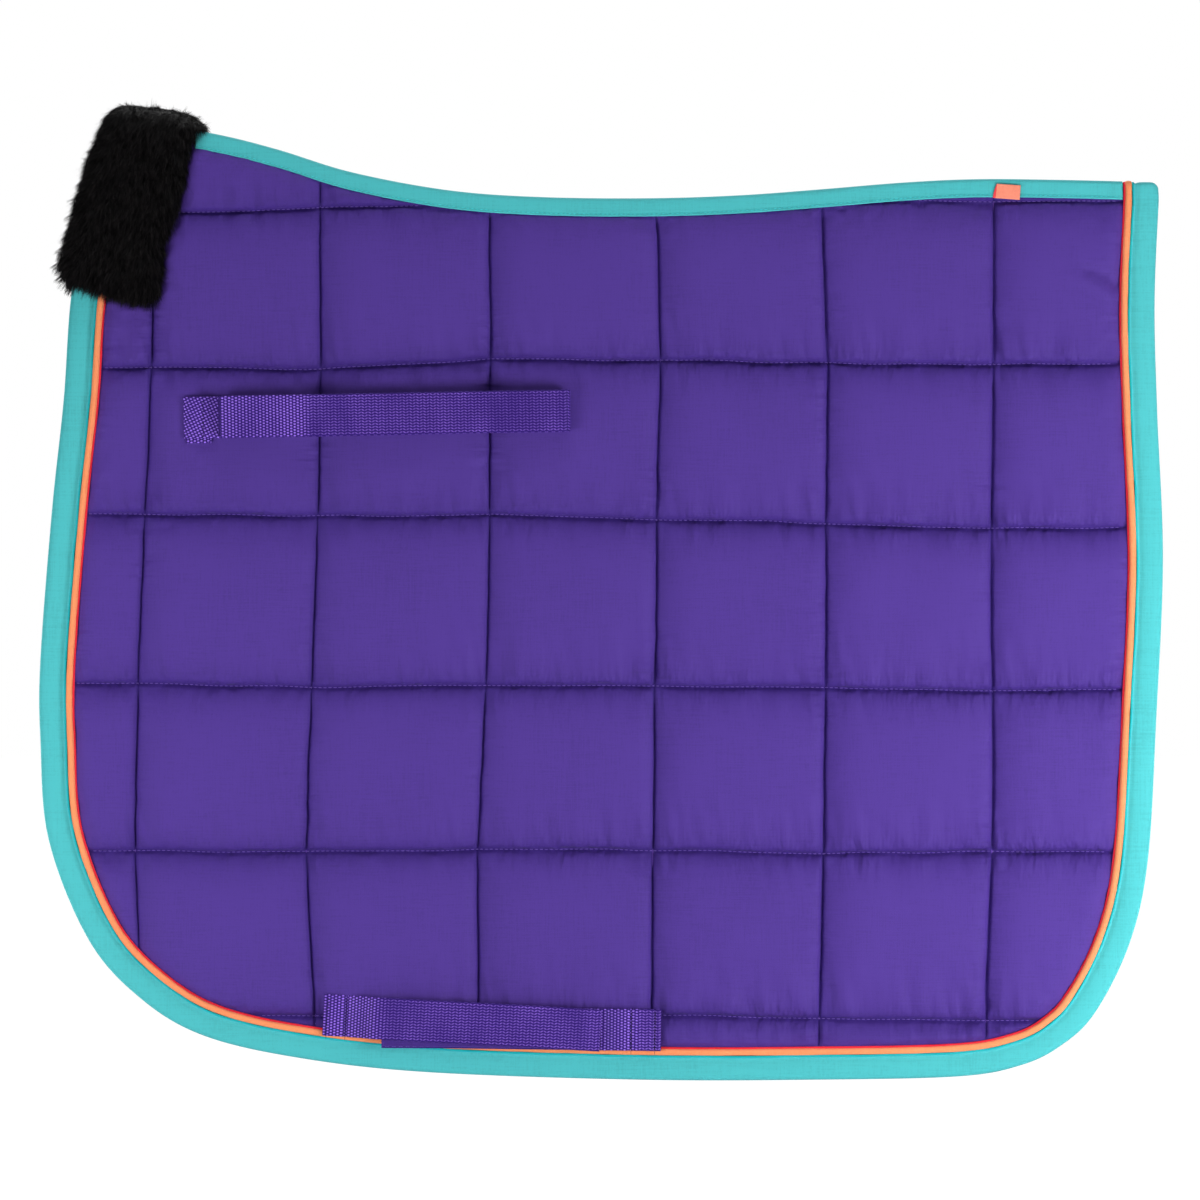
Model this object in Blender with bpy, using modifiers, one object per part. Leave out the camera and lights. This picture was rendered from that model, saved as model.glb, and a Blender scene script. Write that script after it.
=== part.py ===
# Dressage saddle pad, folded at the spine and held up there, as it hangs over a rail.
# Metres, +Z up, +X to the rear. The left half of the pad is at -Y.
# The origin is on the underside of the spine binding, at the lowest point of the spine.

import math

import bmesh
import bpy
from mathutils import Matrix, Vector
from mathutils.geometry import delaunay_2d_cdt

MM = 0.001

# Overall size: length along the horse, and drop from the lowest point of the spine to the hem
PAD_LENGTH = 674.0 * MM
PAD_DROP = 529.2 * MM

# Cloth, tape and clearance
CLEARANCE = 0.3 * MM
HALF_GAP = 4.0 * MM
LINING_THICK = 0.8 * MM
WADDING_THIN = 1.3 * MM
SHELL_THICK = 0.8 * MM
CROWN = 6.5 * MM
TAPE_THICK = 1.0 * MM
SPINE_TAPE_THICK = 1.2 * MM
PIPING_DIAMETER = 4.2 * MM
BINDING_WIDTH = 16.0 * MM
SPINE_BINDING_DROP = 10.8 * MM
CORNER_RADIUS = 5.0 * MM
FOLD_BELOW_BINDING = 1.8 * MM

# Quilting: squares sewn through, reckoned from the crossing of the first seams
SEAM_PITCH_X = 101.6 * MM
SEAM_PITCH_Z = 98.1 * MM
SEAM_START_MM = (-273.0, -97.8)
CHANNEL_SIDE = 12.0 * MM
CROWN_POWER = 2.4
EDGE_RAMP = 28.0 * MM
POINT_GAP = 3.0 * MM

# Straps
WEBBING_THICK = 1.5 * MM
WEBBING_WIDTH = 25.0 * MM
SEWN_END = 14.0 * MM
GIRTH_REAR_SEWN_END = 18.0 * MM
TAPE_MARGIN = 1.0 * MM
BILLET_TAPE_GAP = 4.8 * MM
GIRTH_TAPE_GAP = 3.0 * MM
BILLET_HINGE_X_MM = -234.6
BILLET_BELOW_SEAM = 33.0 * MM
BILLET_LENGTH = 217.0 * MM
BILLET_FLAP_STEP = 6.0 * MM
BILLET_TILT = math.radians(-1.1)
BILLET_TAPE_LENGTH = 120.0 * MM
GIRTH_FRONT_HINGE_MM = (-151.5, -489.6)
GIRTH_FRONT_LENGTH = 152.0 * MM
GIRTH_FRONT_TILT = math.radians(3.2)
GIRTH_REAR_HINGE_MM = (18.3, -497.4)
GIRTH_REAR_LENGTH = 149.0 * MM
GIRTH_REAR_TILT = math.radians(0.7)
GIRTH_TAPE_LENGTH = 70.0 * MM
GIRTH_ROOM = 4.5 * MM
RAMP_START = 2.0 * MM
RAMP_LENGTH = 14.0 * MM

# Faux fur over the withers
FUR_HEIGHT = 16.2 * MM
FUR_INNER_LIP = 4.0 * MM
FUR_CLEAR_OF_BINDING = 0.819 * MM
PIPING_BELOW_BINDING_END = 2.0 * MM

# Label tag on the spine binding, with no lettering
TAG_SIZE = (16.2 * MM, 8.4 * MM, 1.0 * MM)
TAG_X_MM = 243.6
TAG_BELOW_SPINE = 7.5 * MM
TAG_TILT = math.radians(4.0)

# Fineness of the meshes, reach of the cutters and size of the axis marks
CURVE_STEPS = 2
FINE = 0.001 * MM
CORNER_POINTS = 5
BEND_POINTS = 9
SMOOTH_ANGLE = math.radians(35)
MIN_STEP = 1.0 * MM
OVERRUN = 100.0 * MM
NOTCH_SIDE = 80.0 * MM
AXIS_MARK = 20.0 * MM

# Heights above the fold's middle plane, worked out from the sizes above
LINING_IN = HALF_GAP
LINING_OUT = LINING_IN + LINING_THICK
WADDING_IN = LINING_OUT + CLEARANCE
WADDING_SEAM = WADDING_IN + WADDING_THIN
SHELL_SEAM_IN = WADDING_SEAM + CLEARANCE
SHELL_SEAM = SHELL_SEAM_IN + SHELL_THICK
SHELL_TOP = SHELL_SEAM + CROWN
BINDING_OUT = SHELL_SEAM + CLEARANCE + TAPE_THICK
BINDING_IN = LINING_IN - CLEARANCE - TAPE_THICK
FOLD_AXIS_MARGIN = 0.2 * MM
NOTCH_DEPTH = 0.5 * MM
FOLD_AXIS_HEIGHT = BINDING_OUT + FOLD_AXIS_MARGIN
NOTCH_APEX_HEIGHT = FOLD_AXIS_HEIGHT - NOTCH_DEPTH
FOLD_Z = SPINE_TAPE_THICK - SPINE_BINDING_DROP - FOLD_BELOW_BINDING
PIPING_HEIGHT = SHELL_SEAM + CLEARANCE + PIPING_DIAMETER / 2
PIPING_TOP = PIPING_HEIGHT + PIPING_DIAMETER / 2
FUR_BASE = SHELL_SEAM + CLEARANCE
FUR_TOP = FUR_BASE + FUR_HEIGHT
BILLET_BASE = SHELL_TOP + CLEARANCE
TAB_BASE = PIPING_TOP + CLEARANCE
GIRTH_REAR_BASE = TAB_BASE + GIRTH_ROOM
GIRTH_FRONT_BASE = GIRTH_REAR_BASE + WEBBING_THICK + GIRTH_TAPE_GAP

# Half of what the two hook and loop tapes share with their three clearances
BILLET_TAPE_THICK = (BILLET_TAPE_GAP - 3 * CLEARANCE) / 2
GIRTH_TAPE_THICK = (GIRTH_TAPE_GAP - 3 * CLEARANCE) / 2
TAPE_WIDTH = WEBBING_WIDTH - 2 * TAPE_MARGIN

# The billet strap's bend, and how far from its hinge the bend starts
BILLET_BEND = (BILLET_TAPE_GAP + WEBBING_THICK) / 2
BILLET_TURN = BILLET_LENGTH - BILLET_BEND - WEBBING_THICK / 2

# The outlines below are (x, z) in millimetres, drawn for a pad of this length and drop
DRAWN_LENGTH_MM = 674.0
DRAWN_DROP_MM = 529.2
DRAWN_SPINE_MM = 1.2

# Top edge of the spine, front to rear
SPINE_TOP_MM = (
    (-293, 50.5),
    (-233, 40.2),
    (-194, 30.6),
    (-149, 16.8),
    (-91, 6.0),
    (-35, 1.9),
    (30, 1.2),
    (84, 3.0),
    (133, 6.6),
    (182, 10.6),
    (225, 12.6),
    (276, 12.2),
    (333, 10.8),
)

# Front, bottom and rear edge of one half of the pad, from the front corner round to the rear corner
PAD_EDGE_MM = (
    (-293, 50.5),
    (-305, 0),
    (-317, -54),
    (-322, -120),
    (-329, -186),
    (-336, -276),
    (-336, -324),
    (-331, -384),
    (-307, -444),
    (-276, -479),
    (-238, -501.5),
    (-180, -515),
    (-103, -523.5),
    (24, -528),
    (130, -528),
    (215, -526),
    (252, -519.5),
    (276, -508),
    (297, -488),
    (318, -446),
    (329, -396),
    (334, -312),
    (338, -216),
    (334.5, -126),
    (333, -60),
    (336, 10.8),
)

# Outline of the faux fur as seen from the side
FUR_EDGE_MM = (
    (-255, -9),
    (-262, -27),
    (-264.5, -56),
    (-272, -63),
    (-290, -61),
    (-308, -53),
    (-322, -50),
    (-322, -34),
    (-312, 4),
    (-303, 32),
    (-292, 56),
    (-270, 57),
    (-246, 52.5),
    (-236, 42.5),
    (-245.5, 36),
    (-249, 18),
    (-255, -9),
)
SPINE_FRONT_X_MM = -243.0

PURPLE = (0.075, 0.030, 0.240)
PURPLE_WEBBING = (0.090, 0.035, 0.330)
PURPLE_LINING = (0.090, 0.045, 0.270)
TEAL = (0.030, 0.520, 0.560)
ORANGE = (1.000, 0.290, 0.120)
BLACK_PILE = (0.006, 0.006, 0.008)
WHITE_FILL = (0.750, 0.750, 0.730)
DARK_TAPE = (0.030, 0.018, 0.080)


def clear_scene():
    for obj in list(bpy.data.objects):
        bpy.data.objects.remove(obj, do_unlink=True)


def new_collection(name):
    collection = bpy.data.collections.new(name)
    bpy.context.scene.collection.children.link(collection)
    return collection


def make_material(name, colour, roughness):
    material = bpy.data.materials.new(name)
    material.use_nodes = True
    shader = material.node_tree.nodes["Principled BSDF"]
    shader.inputs["Base Color"].default_value = (*colour, 1.0)
    shader.inputs["Roughness"].default_value = roughness
    shader.inputs["Metallic"].default_value = 0.0
    return material


def level(z_mm):
    """A height in the drawn outlines, in metres, on a pad of the size asked for."""
    return SPINE_TAPE_THICK + (z_mm - DRAWN_SPINE_MM) / DRAWN_DROP_MM * PAD_DROP


def placed(x_mm, z_mm):
    """A place in the drawn outlines, in metres, on a pad of the size asked for."""
    return Vector((x_mm / DRAWN_LENGTH_MM * PAD_LENGTH, level(z_mm)))


def curve_through(points_mm):
    """Points of a smooth curve through the given places."""
    points = [placed(*p) for p in points_mm]
    ends = [points[0] * 2 - points[1]] + points + [points[-1] * 2 - points[-2]]
    found = []
    for a, b, c, d in zip(ends, ends[1:], ends[2:], ends[3:]):
        for step in range(CURVE_STEPS):
            t = step / CURVE_STEPS
            cubic = -a + 3 * b - 3 * c + d
            square = 2 * a - 5 * b + 4 * c - d
            found.append(0.5 * (2 * b + (c - a) * t + square * t**2 + cubic * t**3))
    return found + [points[-1]]


def height_at(curve, x):
    """The z of a curve that runs along +X, at this x."""
    for a, b in zip(curve, curve[1:]):
        if a.x <= x <= b.x:
            return a.y + (b.y - a.y) * (x - a.x) / (b.x - a.x)
    return curve[0].y if x < curve[0].x else curve[-1].y


def offset_curve(curve, distance):
    """The curve moved to its left by this distance."""
    moved = []
    for i, point in enumerate(curve):
        along = curve[min(i + 1, len(curve) - 1)] - curve[max(i - 1, 0)]
        moved.append(point + Vector((-along.y, along.x)).normalized() * distance)
    return moved


def below(curve, z):
    """The part of a curve that lies below a level, with its ends cut at that level."""
    kept = []
    for a, b in zip(curve, curve[1:]):
        if (a.y < z) != (b.y < z):
            kept.append(a.lerp(b, (z - a.y) / (b.y - a.y)))
        if b.y < z:
            kept.append(b)
    return kept


def nearest_on(curve, point):
    """The point of a curve that is nearest to this one."""
    feet = []
    for a, b in zip(curve, curve[1:]):
        along = b - a
        t = max(0.0, min(1.0, (point - a).dot(along) / along.length_squared))
        feet.append(a + along * t)
    return min(feet, key=lambda foot: (foot - point).length)


def within(curve, point):
    """Is the point inside the area that the curve and its closing line go round?"""
    inside = False
    for a, b in zip(curve, curve[1:] + curve[:1]):
        if (a.y > point.y) == (b.y > point.y):
            continue
        if point.x < a.x + (b.x - a.x) * (point.y - a.y) / (b.y - a.y):
            inside = not inside
    return inside


def foot_of_cover(curve, outline):
    """The level at which a curve that comes down under an outline leaves it."""
    levels = []
    for a, b in zip(curve, curve[1:]):
        if within(outline, a) and not within(outline, b):
            covered, bare = a, b
            while (covered - bare).length > FINE:
                middle = (covered + bare) / 2
                covered, bare = (middle, bare) if within(outline, middle) else (covered, middle)
            levels.append(covered.y)
    return levels[0]


def link_mesh(name, mesh, material, collection):
    obj = bpy.data.objects.new(name, mesh)
    collection.objects.link(obj)
    mesh.materials.clear()
    if material:
        mesh.materials.append(material)
    return obj


def curve_to_mesh(curve_obj, name, material, collection):
    """Turns a curve object into a welded mesh object of the same place and name."""
    bpy.context.view_layer.update()
    graph = bpy.context.evaluated_depsgraph_get()
    mesh = bpy.data.meshes.new_from_object(curve_obj.evaluated_get(graph))
    matrix = curve_obj.matrix_world.copy()
    bpy.data.objects.remove(curve_obj, do_unlink=True)
    mesh.transform(matrix)
    work = bmesh.new()
    work.from_mesh(mesh)
    bmesh.ops.remove_doubles(work, verts=work.verts, dist=1e-6)
    bmesh.ops.recalc_face_normals(work, faces=work.faces)
    work.to_mesh(mesh)
    work.free()
    mesh.name = name
    return link_mesh(name, mesh, material, collection)


def flat_curve(name, outline, half_thickness):
    data = bpy.data.curves.new(name, "CURVE")
    data.dimensions = "2D"
    data.fill_mode = "BOTH"
    data.extrude = half_thickness
    spline = data.splines.new("POLY")
    spline.points.add(len(outline) - 1)
    for point, place in zip(spline.points, outline):
        point.co = (place[0], place[1], 0.0, 1.0)
    spline.use_cyclic_u = True
    obj = bpy.data.objects.new(name + "_outline", data)
    bpy.context.scene.collection.objects.link(obj)
    return obj


def side_plate(name, outline, low, high, material, collection):
    """A plate on the left side: its outline in the side view, between two heights over the middle plane."""
    obj = flat_curve(name, outline, (high - low) / 2)
    obj.rotation_euler = (math.pi / 2, 0.0, 0.0)
    obj.location = (0.0, -(low + high) / 2, 0.0)
    return curve_to_mesh(obj, name, material, collection)


def tilted(obj, hinge, tilt):
    """Turns a finished strap piece in the side view, about its hinge."""
    place = Matrix.Translation((hinge[0], 0.0, hinge[1]))
    obj.data.transform(place @ Matrix.Rotation(tilt, 4, "Y"))
    return obj


def band(centre_line, thickness):
    """The closed outline of a strip of this thickness along a line."""
    left = offset_curve(centre_line, thickness / 2)
    right = offset_curve(centre_line, -thickness / 2)
    return left + right[::-1]


def strap(name, outline, width, hinge, tilt, material):
    """A strip drawn from above as (x from the hinge, height), with this width in Z."""
    obj = flat_curve(name, [(p[0], -p[1]) for p in outline], width / 2)
    return tilted(curve_to_mesh(obj, name, material, PARTS), hinge, tilt)


def cut(obj, cutter):
    modifier = obj.modifiers.new(cutter.name, "BOOLEAN")
    modifier.operation = "DIFFERENCE"
    modifier.object = cutter
    modifier.solver = "EXACT"


def as_cutter(obj):
    obj.hide_render = True
    obj.display_type = "WIRE"
    return obj


def apply_modifiers(obj):
    bpy.context.view_layer.update()
    graph = bpy.context.evaluated_depsgraph_get()
    mesh = bpy.data.meshes.new_from_object(obj.evaluated_get(graph))
    obj.modifiers.clear()
    obj.data = mesh
    mesh.name = obj.name


def shade_round(obj):
    obj.data.shade_smooth()
    obj.data.set_sharp_from_angle(angle=SMOOTH_ANGLE)


def seam_lines(first, pitch, low, high):
    """The parallel seams between two limits, reckoned from the first one."""
    start = math.ceil((low - first) / pitch)
    stop = math.floor((high - first) / pitch)
    return [first + index * pitch for index in range(start, stop + 1)]


# Curves, levels and places that the pieces share
clear_scene()
PARTS = new_collection("dressage_saddle_pad")
CUTTERS = new_collection("cutters")

SPINE_TOP = curve_through(SPINE_TOP_MM)
SPINE_UNDER = [Vector((p.x, p.y - SPINE_TAPE_THICK)) for p in SPINE_TOP]
PAD_EDGE = curve_through(PAD_EDGE_MM)
FUR_OUTLINE = curve_through(FUR_EDGE_MM)[:-1]
BINDING_INNER = offset_curve(PAD_EDGE, BINDING_WIDTH)
PANEL_INSET = TAPE_THICK + CLEARANCE
PANEL_EDGE = offset_curve(PAD_EDGE, PANEL_INSET)
PIPING_INSET = BINDING_WIDTH + CLEARANCE + PIPING_DIAMETER / 2
FLAP_TOP_Z = FOLD_Z - CLEARANCE
STRIP_BOTTOM_Z = FOLD_Z + CLEARANCE
REAR_X = PAD_EDGE[-1].x
SPINE_REAR_X = REAR_X - PIPING_INSET - PIPING_DIAMETER / 2 - 2 * CLEARANCE
SPINE_FRONT_X = placed(SPINE_FRONT_X_MM, 0.0).x
BINDING_START_Z = foot_of_cover(BINDING_INNER, FUR_OUTLINE) - FUR_CLEAR_OF_BINDING
GIRTH_FRONT_HINGE = placed(*GIRTH_FRONT_HINGE_MM)
GIRTH_REAR_HINGE = placed(*GIRTH_REAR_HINGE_MM)

PIPING_LINE = offset_curve(PAD_EDGE, PIPING_INSET)
RIM = below(PIPING_LINE, FLAP_TOP_Z)
RIM_LOW = Vector((min(p.x for p in RIM), min(p.y for p in RIM)))
RIM_HIGH = Vector((max(p.x for p in RIM), FLAP_TOP_Z))
SEAM_START = placed(*SEAM_START_MM)
BILLET_HINGE = placed(BILLET_HINGE_X_MM, 0.0)
BILLET_HINGE.y = level(SEAM_START_MM[1]) - BILLET_BELOW_SEAM
SEAM_XS = seam_lines(SEAM_START.x, SEAM_PITCH_X, RIM_LOW.x, RIM_HIGH.x)
SEAM_ZS = seam_lines(SEAM_START.y, SEAM_PITCH_Z, RIM_LOW.y, RIM_HIGH.y)

MATERIALS = {
    "quilted_cotton": make_material("quilted_cotton", PURPLE, 0.85),
    "lining_cloth": make_material("lining_cloth", PURPLE_LINING, 0.9),
    "wadding": make_material("wadding", WHITE_FILL, 1.0),
    "teal_binding": make_material("teal_binding", TEAL, 0.6),
    "orange_piping": make_material("orange_piping", ORANGE, 0.6),
    "purple_webbing": make_material("purple_webbing", PURPLE_WEBBING, 0.7),
    "hook_tape": make_material("hook_tape", DARK_TAPE, 0.9),
    "black_fur": make_material("black_fur", BLACK_PILE, 0.8),
    "orange_tag": make_material("orange_tag", ORANGE, 0.7),
}


def profile(distance, reach):
    """0 on a seam, 1 at this distance and past it, steep beside the seam and flat on top."""
    return 1.0 - (1.0 - min(distance, reach) / reach) ** CROWN_POWER


def gap_to(curve, point):
    """The distance from a point to a curve."""
    return (nearest_on(curve, point) - point).length


def crown_height(point):
    """How far the quilted shell stands above its seams here. It is flat under the fur."""
    if within(FUR_OUTLINE, point):
        return 0.0
    column = min(abs(point.x - seam) for seam in SEAM_XS)
    row = min([abs(point.y - seam) for seam in SEAM_ZS] + [FLAP_TOP_Z - point.y])
    rise = profile(column, SEAM_PITCH_X / 2) * profile(row, SEAM_PITCH_Z / 2)
    rise *= profile(gap_to(RIM, point), EDGE_RAMP)
    return CROWN * rise * profile(gap_to(FUR_OUTLINE, point), EDGE_RAMP)


def grid_lines(seams, pitch, low, high):
    """Lines on every seam, beside it and midway to the next, between two limits."""
    steps = (0.0, CHANNEL_SIDE, -CHANNEL_SIDE, pitch / 2, -pitch / 2)
    values = {round(seam + step, 6) for seam in seams for step in steps}
    return sorted(value for value in values if low < value < high)


def crown_points(xs):
    """The grid points inside the rim, clear of it and of the fur's edge."""
    zs = grid_lines(SEAM_ZS, SEAM_PITCH_Z, RIM_LOW.y, FLAP_TOP_Z - CHANNEL_SIDE / 2)
    grid = [Vector((x, z)) for x in xs for z in zs]
    grid = [p for p in grid if within(RIM, p) and gap_to(RIM, p) > CHANNEL_SIDE / 2]
    return [p for p in grid if gap_to(FUR_OUTLINE, p) > POINT_GAP]


def fur_foot():
    """The points of the fur's outline that lie on the quilted face."""
    low = [p for p in FUR_OUTLINE if p.y < FLAP_TOP_Z - POINT_GAP]
    return [p for p in low if within(RIM, p) and gap_to(RIM, p) > POINT_GAP]


def quilted_surface(drop):
    """The quilted face of the flap as an open mesh, flat under the binding, lowered by this much."""
    panel = below(PANEL_EDGE, FLAP_TOP_Z)
    xs = grid_lines(SEAM_XS, SEAM_PITCH_X, RIM_LOW.x, RIM_HIGH.x)
    on_fold = [x for x in xs if RIM[0].x + CHANNEL_SIDE < x < RIM[-1].x - CHANNEL_SIDE]
    ceiling = [RIM[-1]] + [Vector((x, FLAP_TOP_Z)) for x in on_fold[::-1]] + [RIM[0]]
    loop = panel + ceiling
    foot = fur_foot()
    crowns = crown_points(xs)
    spots = loop + RIM[1:-1] + foot + crowns
    ring = list(range(len(loop)))
    foot_start = len(loop) + len(RIM) - 2
    rim_run = [len(loop) - 1] + list(range(len(loop), foot_start)) + [len(panel)]
    foot_run = list(range(foot_start, foot_start + len(foot)))
    edges = list(zip(ring, ring[1:] + ring[:1]))
    edges += list(zip(rim_run, rim_run[1:])) + list(zip(foot_run, foot_run[1:]))
    places, _, faces, *_ = delaunay_2d_cdt([p.copy() for p in spots], edges, [ring], 1, 1e-7)
    crowned = {tuple(round(c, 6) for c in p) for p in crowns}
    work = bmesh.new()
    verts = []
    for place in places:
        on_crown = tuple(round(c, 6) for c in place) in crowned
        height = SHELL_SEAM - drop + (crown_height(place) if on_crown else 0.0)
        verts.append(work.verts.new((place.x, -height, place.y)))
    for face in faces:
        work.faces.new([verts[i] for i in face])
    bmesh.ops.recalc_face_normals(work, faces=work.faces)
    if sum(f.normal.y for f in work.faces) > 0:
        bmesh.ops.reverse_faces(work, faces=work.faces)
    mesh = bpy.data.meshes.new("quilted_surface")
    work.to_mesh(mesh)
    work.free()
    return mesh


def make_shell():
    """The quilted outer cloth of the flap: the quilted face with a thickness."""
    shell = link_mesh("left_shell", quilted_surface(0.0), MATERIALS["quilted_cotton"], PARTS)
    solidify = shell.modifiers.new("cloth", "SOLIDIFY")
    solidify.thickness = SHELL_THICK
    solidify.offset = -1.0
    return shell


def make_wadding():
    """The fill between lining and shell: the same crowns over a flat back."""
    surface = quilted_surface(SHELL_THICK + 2 * CLEARANCE)
    work = bmesh.new()
    work.from_mesh(surface)
    extruded = bmesh.ops.extrude_face_region(work, geom=list(work.faces))["geom"]
    for vert in [g for g in extruded if isinstance(g, bmesh.types.BMVert)]:
        vert.co.y = -WADDING_IN
    back = [f for f in work.faces if all(abs(v.co.y + WADDING_IN) < 1e-7 for v in f.verts)]
    bmesh.ops.dissolve_faces(work, faces=back, use_verts=True)
    bmesh.ops.recalc_face_normals(work, faces=work.faces)
    work.to_mesh(surface)
    work.free()
    return link_mesh("left_wadding", surface, MATERIALS["wadding"], PARTS)


def make_lining():
    """The flat cloth that lies on the horse."""
    outline = below(PANEL_EDGE, FLAP_TOP_Z)
    cloth = MATERIALS["lining_cloth"]
    return side_plate("left_lining", outline, LINING_IN, LINING_OUT, cloth, PARTS)


def make_binding():
    """Tape folded round the edge of the flap, from the fur's edge round to the fold at the rear."""
    outer = below(PAD_EDGE, FLAP_TOP_Z)
    inner = below(BINDING_INNER, FLAP_TOP_Z)
    ring = from_level(outer, BINDING_START_Z) + from_level(inner, BINDING_START_Z)[::-1]
    teal = MATERIALS["teal_binding"]
    binding = side_plate("left_binding", ring, BINDING_IN, BINDING_OUT, teal, PARTS)
    low = BINDING_IN + TAPE_THICK
    high = BINDING_OUT - TAPE_THICK
    cutter = side_plate("binding_slot", grown_panel(CLEARANCE), low, high, None, CUTTERS)
    cut(binding, as_cutter(cutter))
    return binding


def grown_panel(margin):
    """The panel's outline, larger by a margin, and running on past the fold."""
    edge = offset_curve(PAD_EDGE, PANEL_INSET - margin)
    tall = [end + Vector((0.0, OVERRUN)) for end in (edge[-1], edge[0])]
    return edge + tall


def from_level(curve, z):
    """Drops the first stretch of a curve that starts above a level and comes down through it."""
    for i, (a, b) in enumerate(zip(curve, curve[1:])):
        if a.y >= z > b.y:
            return [a.lerp(b, (z - a.y) / (b.y - a.y))] + curve[i + 1 :]
    return curve


def tube(name, path, radius, material):
    data = bpy.data.curves.new(name, "CURVE")
    data.dimensions = "3D"
    data.bevel_depth = radius
    data.bevel_resolution = 1
    data.use_fill_caps = True
    spline = data.splines.new("POLY")
    spline.points.add(len(path) - 1)
    for point, place in zip(spline.points, path):
        point.co = (*place, 1.0)
    obj = bpy.data.objects.new(name + "_path", data)
    bpy.context.scene.collection.objects.link(obj)
    return curve_to_mesh(obj, name, material, PARTS)


def make_piping():
    """The cord in its cloth, sewn along the inner edge of the binding."""
    line = from_level(below(PIPING_LINE, FOLD_Z), BINDING_START_Z - PIPING_BELOW_BINDING_END)
    path = [(p.x, -PIPING_HEIGHT, p.y) for p in line]
    piping = tube("left_piping", path, PIPING_DIAMETER / 2, MATERIALS["orange_piping"])
    cut(piping, NOTCH)
    return piping


def make_notch():
    """A square bar on edge along the fold: it cuts the V that closes as the flap swings up."""
    bpy.ops.mesh.primitive_cube_add(size=1.0)
    notch = bpy.context.active_object
    notch.name = "fold_notch"
    for collection in list(notch.users_collection):
        collection.objects.unlink(notch)
    CUTTERS.objects.link(notch)
    notch.data.transform(Matrix.Diagonal((1.0, NOTCH_SIDE, NOTCH_SIDE, 1.0)))
    notch.data.transform(Matrix.Rotation(math.pi / 4, 4, "X"))
    reach = NOTCH_SIDE / math.sqrt(2)
    notch.data.transform(Matrix.Translation((0.0, -NOTCH_APEX_HEIGHT - reach, FOLD_Z)))
    return as_cutter(notch)


def make_fur():
    """The left cheek of the fur, which wraps the front edge, and the part over the withers."""
    lower = clip_level(FUR_OUTLINE, FOLD_Z - CLEARANCE, keep_below=True)
    upper = clip_level(FUR_OUTLINE, FOLD_Z + CLEARANCE, keep_below=False)
    fur = side_plate("left_fur", lower, FUR_INNER_LIP, FUR_TOP, MATERIALS["black_fur"], PARTS)
    seat = side_plate("fur_seat", grown_panel(CLEARANCE), 0.0, FUR_BASE, None, CUTTERS)
    cut(fur, as_cutter(seat))
    cut(fur, NOTCH)
    top = side_plate("wither_fur", upper, -FUR_TOP, FUR_TOP, MATERIALS["black_fur"], PARTS)
    hollow_top = [Vector((p.x, p.y + CLEARANCE)) for p in SPINE_TOP]
    edge = offset_curve(PAD_EDGE, PANEL_INSET - CLEARANCE)
    front = [p for p in edge if p.y < hollow_top[0].y - CLEARANCE and p.x < 0]
    hollow = [Vector((edge[0].x, hollow_top[0].y))] + front
    hollow += [Vector((REAR_X, front[-1].y)), Vector((REAR_X, hollow_top[-1].y))]
    hollow += [p for p in hollow_top[::-1] if p.x > edge[0].x]
    width = BINDING_OUT + CLEARANCE
    cutter = side_plate("fur_hollow", hollow, -width, width, None, CUTTERS)
    cut(top, as_cutter(cutter))
    cut(top, NOTCH)
    cut(top, NOTCH_RIGHT)
    return fur, top


def clip_level(outline, z, keep_below):
    """The part of a closed outline on one side of a level, closed along it."""
    kept = []
    for a, b in zip(outline, outline[1:] + outline[:1]):
        if (a.y < z) != (b.y < z):
            kept.append(a.lerp(b, (z - a.y) / (b.y - a.y)))
        if (b.y < z) == keep_below:
            kept.append(b)
    return kept


def make_strip():
    """The narrow strip of the pad between spine and fold, in its three layers."""
    top = [Vector((p.x, p.y - CLEARANCE)) for p in SPINE_UNDER]
    front = above_part(PANEL_EDGE, STRIP_BOTTOM_Z)
    rear = above_part(PANEL_EDGE[::-1], STRIP_BOTTOM_Z)
    corner = rear_corner(PANEL_INSET)
    ceiling = [p for p in top[::-1] if front[-1].x + MIN_STEP < p.x < corner[-1].x - MIN_STEP]
    front_top = Vector((front[-1].x, height_at(top, front[-1].x)))
    front = [p for p in front if p.y < front_top.y - MIN_STEP]
    rear = [p for p in rear if p.y < corner[0].y - MIN_STEP]
    outline = rear + corner + ceiling + [front_top] + front[::-1]
    layers = (
        ("left_strip_lining", LINING_IN, LINING_OUT, "lining_cloth"),
        ("left_strip_wadding", WADDING_IN, WADDING_SEAM, "wadding"),
        ("left_strip_shell", SHELL_SEAM_IN, SHELL_SEAM, "quilted_cotton"),
    )
    made = []
    for name, low, high, look in layers:
        made.append(side_plate(name, outline, low, high, MATERIALS[look], PARTS))
    return made


def rear_corner(inset):
    """The round corner at the top of the rear edge, this far inside the binding's outer face."""
    centre = PAD_EDGE[-1] - Vector((CORNER_RADIUS, CORNER_RADIUS))
    turn = spread(0.0, math.pi / 2, CORNER_POINTS)
    return [centre + Vector((math.cos(a), math.sin(a))) * (CORNER_RADIUS - inset) for a in turn]


def above_part(run, z):
    """The stretch of an edge from its first point down to a level, turned to run upward."""
    kept = []
    for a, b in zip(run, run[1:]):
        kept.append(a)
        if b.y <= z:
            kept.append(a.lerp(b, (z - a.y) / (b.y - a.y)))
            break
    return kept[::-1]


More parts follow.
